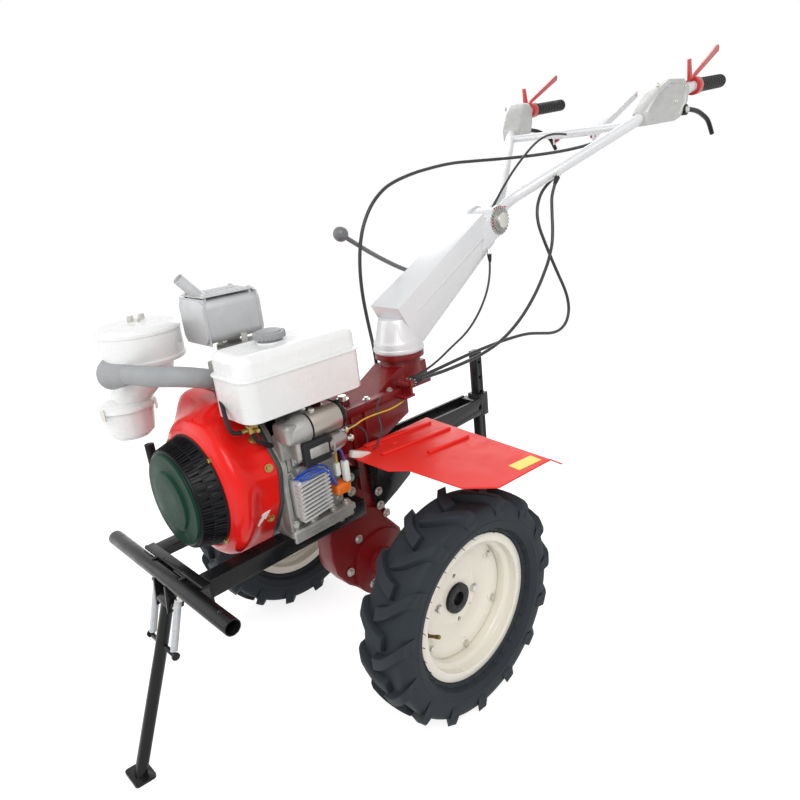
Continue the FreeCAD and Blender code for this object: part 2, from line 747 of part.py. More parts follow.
def makeEngineMount():
    """Plates that bolt the gearbox between the rails."""
    plates = []
    for side in (-1, 1):
        y0, y1 = sorted((side * (boxHalf + touchGap), side * (railY - railThick - touchGap)))
        low = box(railRear, boxFront - 2, y0, y1, railBottom + 2, railBottom + railHeight - railThick - touchGap)
        top = railBottom + railHeight + touchGap
        upright = prism([(52, top + 72), (93, top + 72), (93, top), (84, top), (76, top + 24)],
                        "y", *sorted((side * (boxHalf + touchGap), side * 104)))
        link = box(80, 93, *sorted((side * (boxHalf + touchGap), side * (railY - railFlange - 0.5))), top - 20, top + 4)
        low = fuse([low, upright, link])
        plates.append(low)
    return plates


def makeHitch():
    """Rear drawbar: two plates, a cross sleeve for the depth bar and its pin."""
    rear = boxRear - touchGap
    plates = []
    for side in (-1, 1):
        y = side * 30
        plates.append(prism([
            (rear - 1, hitchZ - 50), (rear - 1, hitchZ + 32), (postX + 30, hitchZ + 28), (postX + 30, hitchZ - 20),
            (rear - 120, hitchZ - 30)], "y", y - 4, y + 4))
    s = postSide / 2
    sleeve = box(postX - s - 8, postX + s + 8, -s - 8, s + 8, hitchZ - 34, hitchZ + 34)
    hole = box(postX - s - 0.4, postX + s + 0.4, -s - 0.4, s + 0.4, hitchZ - 40, hitchZ + 40)
    web = box(postX + s + 4, postX + 44, -30, 30, hitchZ - 18, hitchZ + 24)
    head = box(rear - 6, rear, -60, 60, hitchZ - 60, hitchZ + 36)
    bore = rod(v(postX + 30, -60, hitchZ + 2), v(postX + 30, 60, hitchZ + 2), hitchPinRadius)
    return fuse([sleeve, web, head] + plates).cut(hole).cut(bore)


def makePost():
    s = postSide / 2
    bar = box(postX - s, postX + s, -s, s, postBottom, postTop)
    holes = [rod(v(postX, -40, z), v(postX, 40, z), 5) for z in range(220, 400, 45)]
    holes += [rod(v(postX, -40, z), v(postX, 40, z), 5) for z in range(500, 680, 45)]
    return cutAll(bar, holes)


# ---- fenders --------------------------------------------------------------
def makeFender():
    """Left fender: a flat sheet with a folded rear lip, ribs and stiffening strip."""
    z = fenderZ
    near = boxHalf + 14
    y = treadTrack
    outline = [(72, near), (72, y - 114), (46, y - 78), (44, y + 68), (2, y + 126), (-156, y + 140), (-196, near)]
    sheet = prism(outline, "z", z, z + fenderSheet)
    rear = Part.Face(Part.makePolygon([
        v(-156, y + 140, z), v(-196, near, z), v(-238, near, z - 26), v(-198, y + 140, z - 26),
        v(-156, y + 140, z)]))
    rearLip = rear.extrude(v(0, 0, fenderSheet))
    ribs = []
    for middle in (near + 52, near + 102):
        rib = softBox(-130, 46, middle - 8, middle + 8, z + fenderSheet - 0.5, z + fenderSheet + 5, 7, "z")
        rib.rotate(v(46, middle, z), v(0, 0, 1), -20)
        ribs.append(rib)
    strip = box(-127, 5, y - 14, y + 6, z + fenderSheet - 0.5, z + fenderSheet + 4)
    return fuse([sheet, rearLip, strip] + ribs)


def makeFenderBracket():
    """Bent steel arm under the fender, bolted to the gearbox side."""
    y0 = boxHalf + touchGap
    under = fenderZ - touchGap
    foot = prism([(4, under - 6), (2, 463), (-6, 405), (-24, 396), (-80, 421), (-128, 446), (-150, under - 6)],
                 "y", y0, y0 + 6)
    arm = box(-46, -4, y0, treadTrack + 40, under - 6, under)
    web = prism([(y0 + 5, under - 64), (y0 + 5, under - 6), (y0 + 84, under - 6)], "x", -28, -22)
    return fuse([foot, arm, web])


# ---- handle ---------------------------------------------------------------
def makeColumn():
    """Tapered box column with a round swivel foot and a fork at its top."""
    z0 = swivelZ + swivelGap
    foot = rod(v(swivelX, 0, z0), v(swivelX, 0, z0 + 26), swivelRadius)
    dome = cone(v(swivelX, 0, z0 + 26), v(swivelX, 0, z0 + 84), swivelRadius - 4, 44)
    foot = fuse([foot, dome])
    low = v(swivelX + 4, 0, z0 + 62)
    high = v(clampX + 40, 0, clampZ - 16)
    along = high - low
    along.normalize()
    lift = v(-along.z, 0, along.x) * -1.0
    wires = []
    for centre, halfWide, halfDeep in ((low, 50, 62), (high, 38, 46)):
        ring = [
            centre + v(0, halfWide, 0) + lift * halfDeep, centre + v(0, -halfWide, 0) + lift * halfDeep,
            centre + v(0, -halfWide, 0) - lift * halfDeep, centre + v(0, halfWide, 0) - lift * halfDeep]
        ring.append(ring[0])
        wires.append(Part.makePolygon(ring))
    boxColumn = Part.makeLoft(wires, True, True)
    cheeks = []
    for side in (-1, 1):
        y = side * (clampInner + 4)
        cheek = rod(v(clampX, y - 4, clampZ), v(clampX, y + 4, clampZ), clampRadius)
        tail = prism([
            (clampX + 78, clampZ - 74), (clampX + 66, clampZ - 6), (clampX, clampZ + clampRadius - 4),
            (clampX - 20, clampZ - clampRadius + 8)], "y", y - 4, y + 4)
        cheeks += [cheek, tail]
    body = fuse([foot, boxColumn] + cheeks)
    bore = rod(v(swivelX, 0, swivelZ - 10), v(swivelX, 0, swivelZ + 48), kingPinRadius + 0.1)
    pinBore = rod(v(clampX, -60, clampZ), v(clampX, 60, clampZ), 9)
    inside = rod(v(clampX, -clampInner, clampZ), v(clampX, clampInner, clampZ), clampRadius + 6)
    return body.cut(bore).cut(pinBore).cut(inside)


def makeClampBolt():
    out = clampInner + 8 + seatGap
    bolt = rod(v(clampX, -out - 12, clampZ), v(clampX, out + 16, clampZ), 8.9)
    knob = rod(v(clampX, out, clampZ), v(clampX, out + 16, clampZ), 20)
    nut = rod(v(clampX, -out - 12, clampZ), v(clampX, -out, clampZ), 15)
    return fuse([bolt, knob, nut])


def barZ(x):
    """Height of a handlebar tube's centre on its long straight run."""
    p = barPoints(1)
    return p[1].z + (p[2].z - p[1].z) * (x - p[1].x) / (p[2].x - p[1].x)


def barY(x):
    p = barPoints(1)
    return p[1].y + (p[2].y - p[1].y) * (x - p[1].x) / (p[2].x - p[1].x)


def barPoints(side):
    """Centre line of one handlebar tube, from the clamp to its grip."""
    return [
        v(clampX - 6, side * 16, clampZ + 4), v(clampX - 84, side * 18, clampZ + 46),
        v(-1010, side * 228, 1250), v(-1120, side * 280, gripZ - 30), v(gripFrontX, side * gripHalf, gripZ),
        v(gripRearX + 4, side * gripHalf, gripZ + gripRise),
    ]


def makeHandlebar():
    tubes = [bentTube(barPoints(side), tubeRadius, 0.0, 0.28) for side in (-1, 1)]
    hub = rod(v(clampX, -clampInner + 1, clampZ), v(clampX, clampInner - 1, clampZ), 34)
    reach = barY(crossX)
    cross = rod(v(crossX, -reach, barZ(crossX)), v(crossX, reach, barZ(crossX)), crossRadius)
    body = fuse(tubes + [hub, cross])
    bore = rod(v(clampX, -60, clampZ), v(clampX, 60, clampZ), 9)
    return body.cut(bore)


def tubeRoom(side):
    """The handlebar tube with its seat gap, to cut out of what clamps on it."""
    return bentTube(barPoints(side), tubeRadius + seatGap, 0.0, 0.28)


def makeGrip(side):
    p = barPoints(side)
    step = p[5] - p[4]
    step.normalize()
    start = p[4] + step * 40
    end = v(gripRearX, side * gripHalf, gripZ + gripRise)
    outer = rod(start, end, gripRadius)
    bore = rod(start - step * 10, p[5] + step * 0.1, tubeRadius + touchGap)
    collar = rod(start, start + step * 6, gripRadius + 5)
    return fuse([outer, collar]).cut(bore)


def makePanel():
    """Thin plate between the tubes, on two legs from the cross bar."""
    z0 = barZ(crossX)
    low = v(crossX - 42, 0, z0 - 14)
    rise = v(-278, 0, 126)
    plate = Part.Face(Part.makePolygon([
        low + v(0, -74, 0), low + v(0, 74, 0), low + rise + v(0, 74, 0), low + rise + v(0, -74, 0),
        low + v(0, -74, 0)])).extrude(v(0, 0, 4))
    rim = []
    for y in (-74, 68):
        rim.append(prism([(low.x, low.z + 2), (low.x + rise.x, low.z + rise.z + 2),
                          (low.x + rise.x, low.z + rise.z - 16), (low.x, low.z - 16)], "y", y, y + 6))
    legs = []
    for y in (-50, 38):
        legs.append(prism([(crossX, z0 + 6), (crossX, z0 - 8), (low.x - 30, low.z + 2), (low.x - 30, low.z + 16)],
                          "y", y, y + 12))
    rest = rod(v(crossX, -200, z0), v(crossX, 200, z0), crossRadius + seatGap)
    return fuse([plate] + rim + legs).cut(rest)


def makeBracket(side):
    """Cast lever bracket: a deep tapered casting clamped on the tube ahead of the grip."""
    p = barPoints(side)
    start = v(p[2].x, p[2].y, 0)
    way = v(p[4].x - p[2].x, p[4].y - p[2].y, 0)
    way.normalize()
    out = v(-way.y, way.x, 0) * 19.0
    ring = []
    for along, z in bracketOutline:
        ring.append(start + way * along + v(0, 0, gripZ + z) - out)
    ring.append(ring[0])
    body = Part.Face(Part.makePolygon(ring)).extrude(out * 2.0)
    return body.cut(tubeRoom(side))


def makeLever(side):
    """Black clutch lever, pivoted at the bracket's rear foot and reaching under the grip."""
    y = side * gripHalf
    x, z = gripFrontX, gripZ
    root = rod(v(x + 50, y - 13, z - 64), v(x + 50, y + 13, z - 64), 15)
    blade = bentTube([v(x + 50, y, z - 64), v(x + 4, y, z - 62), v(x - 62, y, z - 67), v(x - 140, y, z - 92),
                      v(x - 176, y, z - 134)], 7)
    return fuse([root, blade]).cut(makeBracket(side))


def makeRedLever(side):
    """Red throttle or decompression lever on a ring between the bracket and the grip."""
    p = barPoints(side)
    step = p[5] - p[4]
    step.normalize()
    y = side * gripHalf
    ring = rod(p[4] + step * 14, p[4] + step * 38, 25)
    x, z = p[4].x - 26, p[4].z
    arm = prism([(x + 22, z + 16), (x + 2, z + 36), (x - 160, z + 122), (x - 168, z + 116), (x - 164, z + 104),
                 (x - 4, z + 28), (x - 4, z + 16)], "y", y - 4, y + 4)
    short = prism([(x + 20, z + 16), (x + 34, z + 74), (x + 44, z + 72), (x + 40, z + 16)], "y", y - 4, y + 4)
    return fuse([ring, arm, short]).cut(tubeRoom(side)).cut(makeBracket(side))


def makeGearLever():
    """Gear lever: a bent rod with a round knob, pivoted on the column's far side."""
    knob = Part.makeSphere(gearKnobRadius, v(-155, -118, 1038))
    bend = [v(-168, -118, 1029), v(-256, -119, 972), v(-345, -112, 921), v(-428, -96, 886)]
    stem = bentTube(bend, 6)
    pivot = rod(v(-428, -106, 882), v(-428, -30, 882), 13)
    return fuse([knob, stem, pivot])


# ---- cables -----------------------------------------------------------------
stopA = v(cableStopX - 30, -66, cableStopZ - 10 + seatGap)
stopB = v(cableStopX - 1.5 * seatGap, cableStopY[1], cableStopZ)
stopC = v(cableStopX - seatGap, cableStopY[2], cableStopZ)
stopD = v(cableStopX - seatGap, cableStopY[0], cableStopZ)
splitA = (-422, -95, 1166)
splitB = (-732, 106, 896)
splitC = (-652, 147, 894)


def onward(split, towards):
    """The next cable's first point, a seat gap past the one before."""
    step = v(*towards) - v(*split)
    step.normalize()
    return tuple(v(*split) + step * seatGap)


cableRoutes = {
    "cable_clutch_upper": (cableRadius, [
        (-1010, 190, 1227), (-967, 146, 1204), (-888, 74, 1186), (-805, 4, 1180), (-735, -50, 1179),
        (-646, -86, 1180), (-529, -97, 1180), splitA]),
    "cable_clutch": (cableRadius, [
        onward(splitA, (-328, -95, 1151)), (-328, -95, 1151), (-257, -95, 1112), (-214, -95, 1060),
        (-193, -96, 1005), (-183, -96, 945), (-181, -95, 883), (-184, -92, 825), (-184, -84, 775),
        (stopA.x, -68, 738), tuple(stopA)]),
    "cable_throttle_upper": (cableRadius, [
        (-822, 84, 1128), (-776, 64, 1098), (-736, 62, 1056), (-713, 74, 1004), (-718, 92, 948), splitB]),
    "cable_throttle": (cableRadius, [
        onward(splitB, (-748, 118, 846)), (-748, 118, 846), (-768, 124, 806), (-780, 129, 767), (-779, 132, 730),
        (-759, 134, 701), (-725, 134, 687), (-684, 133, 687), (-632, 129, 699), (-575, 122, 711),
        (-490, 116, 714), (-406, 110, 712),
        (-320, 101, 706), (-242, 92, 697), (-192, 85, stopB.z + 1.5), tuple(stopB)]),
    "cable_brake_upper": (cableRadius, [
        (-775, 107, 1120), (-744, 105, 1078), (-724, 118, 1028), (-708, 130, 978), (-688, 139, 932), splitC]),
    "cable_brake": (cableRadius, [
        onward(splitC, (-610, 154, 854)), (-610, 154, 854), (-560, 155, 808), (-505, 151, 764), (-436, 143, 726),
        (-365, 132, 706), (-298, 119, 697), (-240, 108, 692), (-192, 99, stopC.z + 1), tuple(stopC)]),
    "cable_stop": (thinCableRadius, [
        (-527, 44, 940), (-512, 58, 905), (-484, 68, 850), (-432, 76, 797), (-372, 80, 757), (-310, 79, 734),
        (-258, 78, 712), (-212, 75, 698), (-178, 71.5, stopD.z + 2), tuple(stopD)]),
}


def makeCable(name, points, radius):
    """One cable sheath along its route; the line printed gives its length and radii."""
    wire, radii = smoothPath([v(*p) for p in points])
    solid = bentTube([v(*p) for p in points], radius)
    expected = math.pi * radius * radius * wire.Length
    print("cable", name, "length", round(wire.Length, 1), "radii", [round(r) for r in radii],
          "volume over section times length", round(solid.Volume / expected, 4))
    return solid


def compound(shapes):
    return Part.makeCompound(shapes) if len(shapes) > 1 else shapes[0]


def allNodes():
    nodes = {}
    nodes["bumper_tube"] = makeBumper()
    nodes["cross_plate"] = makeCrossPlate()
    nodes["stand_bracket"] = makeStandBracket()
    nodes["rail_left"] = makeRail()
    nodes["rail_right"] = mirrorY(makeRail())
    nodes["crankcase"] = makeCrankcase()
    nodes["cylinder"] = makeCylinder()
    nodes["back_plate"] = makeBackPlate()
    nodes["fan_shroud"] = makeShroud()
    nodes["recoil_band"] = makeRecoil()
    nodes["recoil_cover"] = makeRecoilCover()
    nodes["pull_handle"] = makePullHandle()
    nodes["fuel_tank"] = makeTank()
    nodes["tank_cap"] = makeTankCap()
    nodes["tank_bracket"] = makeTankBracket()
    nodes["muffler"] = makeMuffler()
    nodes["air_cleaner"] = makeCleaner()
    nodes["intake_duct"] = makeDuct()
    nodes["starter_motor"] = makeStarter()
    nodes["regulator"] = makeRegulator()
    nodes["wiring_plugs"] = compound(makeWiring())
    nodes["gearbox_case"] = makeGearbox()
    nodes["gearbox_cover"] = makeGearCover()
    nodes["mount_blocks"] = compound(makeEngineMount())
    nodes["rear_hitch"] = makeHitch()
    nodes["depth_bar"] = makePost()
    nodes["fender_left"] = makeFender()
    nodes["fender_right"] = mirrorY(makeFender())
    nodes["fender_brackets"] = compound([makeFenderBracket(), mirrorY(makeFenderBracket())])
    for name, flip in (("left", False), ("right", True)):
        turn = mirrorY if flip else (lambda shape: shape)
        nodes["tyre_" + name] = turn(makeTyre())
        nodes["rim_" + name] = turn(makeRim())
        nodes["hub_" + name] = turn(makeHub())
        nodes["half_shaft_" + name] = turn(makeShaft())
    nodes["intake_duct"] = nodes["intake_duct"].cut(nodes["air_cleaner"]).cut(nodes["cylinder"])
    nodes["pull_handle"] = nodes["pull_handle"].cut(nodes["fan_shroud"])
    nodes["stand_leg"] = makeStandLeg()
    nodes["stand_spring_left"] = makeStandSpring(1)
    nodes["stand_spring_right"] = makeStandSpring(-1)
    nodes["handle_column"] = makeColumn()
    nodes["clamp_bolt"] = makeClampBolt()
    nodes["gear_lever"] = makeGearLever().cut(nodes["handle_column"])
    nodes["handlebar"] = makeHandlebar()
    nodes["handle_panel"] = makePanel()
    nodes["grips"] = compound([makeGrip(side) for side in (-1, 1)])
    nodes["lever_brackets"] = compound([makeBracket(side) for side in (-1, 1)])
    nodes["clutch_levers"] = compound([makeLever(side) for side in (-1, 1)])
    nodes["red_levers"] = compound([makeRedLever(side) for side in (-1, 1)])
    for cable, (radius, route) in cableRoutes.items():
        nodes[cable] = makeCable(cable, route, radius)
    return nodes


def leaned(name, shape):
    """Everything but the round wheels leans about the axle onto the front stand."""
    out = shape.copy()
    if not name.startswith(wheelPieces):
        out.rotate(axle, sideways, lean)
    return out


def wholeBox(shapes):
    bounds = FreeCAD.BoundBox()
    for shape in shapes:
        bounds.add(shape.optimalBoundingBox(False, False))
    return bounds


wheelPieces = ("tyre_", "rim_", "hub_", "half_shaft_")
nodes = {}
for nodeName, nodeShape in allNodes().items():
    nodes[nodeName] = leaned(nodeName, nodeShape)
bounds = wholeBox(nodes.values())
shiftX = -0.5 * (bounds.XMin + bounds.XMax)

os.makedirs("parts", exist_ok=True)
for nodeName, nodeShape in nodes.items():
    nodeShape.translate(v(shiftX, 0, 0))
    nodeShape.exportStep("parts/" + nodeName + ".step")
    print(nodeName, len(nodeShape.Solids), nodeShape.isValid(), round(nodeShape.Volume / 1000.0, 1))
print("shiftX", round(shiftX, 4), "length", round(bounds.XLength, 1), "width", round(bounds.YLength, 1),
      "height", round(bounds.ZLength, 1), "low", round(bounds.ZMin, 3))
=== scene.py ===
import bpy
import bmesh
import json
import math
from mathutils import Matrix, Vector
from mathutils.bvhtree import BVHTree


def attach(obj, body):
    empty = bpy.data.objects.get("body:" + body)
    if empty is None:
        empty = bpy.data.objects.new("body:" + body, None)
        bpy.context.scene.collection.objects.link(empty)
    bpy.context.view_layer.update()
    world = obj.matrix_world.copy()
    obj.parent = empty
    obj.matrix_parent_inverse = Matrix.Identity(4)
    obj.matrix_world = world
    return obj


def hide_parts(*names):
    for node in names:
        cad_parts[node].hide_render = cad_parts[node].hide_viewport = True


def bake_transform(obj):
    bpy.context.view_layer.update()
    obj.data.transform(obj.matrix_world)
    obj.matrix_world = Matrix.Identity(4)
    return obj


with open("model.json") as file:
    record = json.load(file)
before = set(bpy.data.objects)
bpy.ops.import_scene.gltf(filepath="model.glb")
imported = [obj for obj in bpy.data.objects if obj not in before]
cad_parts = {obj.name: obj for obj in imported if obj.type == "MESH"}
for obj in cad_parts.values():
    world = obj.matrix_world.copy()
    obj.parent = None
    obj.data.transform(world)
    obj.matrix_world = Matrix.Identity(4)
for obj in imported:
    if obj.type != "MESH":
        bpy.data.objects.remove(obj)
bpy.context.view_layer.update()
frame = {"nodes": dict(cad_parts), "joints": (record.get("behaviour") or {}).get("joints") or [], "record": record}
joints = {joint["name"]: joint for joint in frame["joints"]}
bodies = frame["record"]["behaviour"]["bodies"]
bodyOf = {node: body for body, members in bodies.items() for node in members}
print("stage: frame loaded,", len(frame["nodes"]), "nodes")

# The machine leans forward on its stand about the axle. Pieces are drawn level, in mm,
# with x forward and z up from the ground under the axle, and this matrix places them.
axle = Vector(joints["wheel_left_spin"]["pos_m"])
lean = math.radians(5.8)
machine = (Matrix.Translation((axle.x, 0, axle.z)) @ Matrix.Rotation(lean, 4, "Y")
           @ Matrix.Translation((0, 0, -axle.z)) @ Matrix.Scale(0.001, 4))
wheels = {
    "left": Matrix.Translation(axle) @ Matrix.Scale(0.001, 4),
    "right": Matrix.Translation((axle.x, -axle.y, axle.z)) @ Matrix.Scale(0.001, 4) @ Matrix.Scale(-1, 4, (0, 1, 0)),
}
scene = bpy.context.scene


def colour(text):
    # sRGB hex to linear
    parts = [int(text[i:i + 2], 16) / 255 for i in (0, 2, 4)]
    return [p / 12.92 if p <= 0.04045 else ((p + 0.055) / 1.055) ** 2.4 for p in parts] + [1.0]


def put(tree, kind, settings=None, inputs=None):
    made = tree.nodes.new(kind)
    for key, value in (settings or {}).items():
        setattr(made, key, value)
    for key, value in (inputs or {}).items():
        if isinstance(value, bpy.types.NodeSocket):
            tree.links.new(value, made.inputs[key])
        else:
            made.inputs[key].default_value = value
    return made


def newFinish(name, values):
    # a bare shader with its constants, and the object's own coordinates
    material = bpy.data.materials.new(name)
    material.use_nodes = True
    tree = material.node_tree
    shader = tree.nodes["Principled BSDF"]
    for key, value in values.items():
        shader.inputs[key].default_value = value
    place = put(tree, "ShaderNodeTexCoord").outputs["Object"]
    return material, tree, shader, place


reliefDepth = dict(paint=0.0006, cast=0.0008, brushed=0.0003)  # metres at full strength, deeper than real to show


def laySkin(tree, shader, tones, factor, rough, height, strength, depth):
    # two tones of the colour, the sheen and the relief
    mixed = put(tree, "ShaderNodeMix", {"data_type": "RGBA"}, {"Factor": factor})
    mixed.inputs["A"].default_value = colour(tones[0])
    mixed.inputs["B"].default_value = colour(tones[1])
    bump = put(tree, "ShaderNodeBump", None, {"Height": height, "Strength": strength, "Distance": depth})
    tree.links.new(mixed.outputs["Result"], shader.inputs["Base Color"])
    tree.links.new(rough.outputs["Result"], shader.inputs["Roughness"])
    tree.links.new(bump.outputs["Normal"], shader.inputs["Normal"])


def paintFinish(name, main, shade, values, look):
    # sprayed enamel: orange peel in the gloss, a slow drift of tone, and patches of duller gloss
    material, tree, shader, place = newFinish(name, values)
    drift = put(tree, "ShaderNodeTexNoise", None, {"Vector": place, "Scale": 1000 / look["driftMm"], "Detail": 3.0})
    peel = put(tree, "ShaderNodeTexNoise", None, {"Vector": place, "Scale": 1000 / look["peelMm"], "Detail": 2.0})
    scuff = put(tree, "ShaderNodeTexNoise", None, {"Vector": place, "Scale": 1000 / look["scuffMm"], "Detail": 8.0})
    rough = put(tree, "ShaderNodeMapRange", None, {
        "Value": scuff.outputs["Fac"], "From Min": 0.35, "From Max": 0.75,
        "To Min": look["rough"][0], "To Max": look["rough"][1]})
    laySkin(tree, shader, (main, shade), drift.outputs["Fac"], rough, peel.outputs["Fac"], look["bump"],
            reliefDepth["paint"])
    return material


def castFinish(name, main, shade, values, look):
    # sand or die casting: a pebbled skin, with a second tone of the colour mixed in by soft clouds
    material, tree, shader, place = newFinish(name, values)
    grain = put(tree, "ShaderNodeTexVoronoi", None, {"Vector": place, "Scale": 1000 / look["grainMm"]})
    cloud = put(tree, "ShaderNodeTexNoise", None, {"Vector": place, "Scale": 1000 / look["cloudMm"], "Detail": 6.0})
    pebbles = put(tree, "ShaderNodeMath", {"operation": "ADD"},
                  {0: grain.outputs["Distance"], 1: cloud.outputs["Fac"]})
    rough = put(tree, "ShaderNodeMapRange", None, {
        "Value": cloud.outputs["Fac"], "To Min": look["rough"][0], "To Max": look["rough"][1]})
    laySkin(tree, shader, (main, shade), cloud.outputs["Fac"], rough, pebbles.outputs["Value"], look["bump"],
            reliefDepth["cast"])
    return material


def brushedFinish(name, main, shade, values, look):
    # drawn or machined metal: fine lines along one direction
    material, tree, shader, place = newFinish(name, values)
    stretch = put(tree, "ShaderNodeMapping", None, {"Vector": place, "Scale": look["stretch"]})
    lines = put(tree, "ShaderNodeTexNoise", None, {
        "Vector": stretch.outputs["Vector"], "Scale": 1000 / look["lineMm"], "Detail": 4.0})
    rough = put(tree, "ShaderNodeMapRange", None, {
        "Value": lines.outputs["Fac"], "To Min": look["rough"][0], "To Max": look["rough"][1]})
    laySkin(tree, shader, (main, shade), lines.outputs["Fac"], rough, lines.outputs["Fac"], look["bump"],
            reliefDepth["brushed"])
    return material


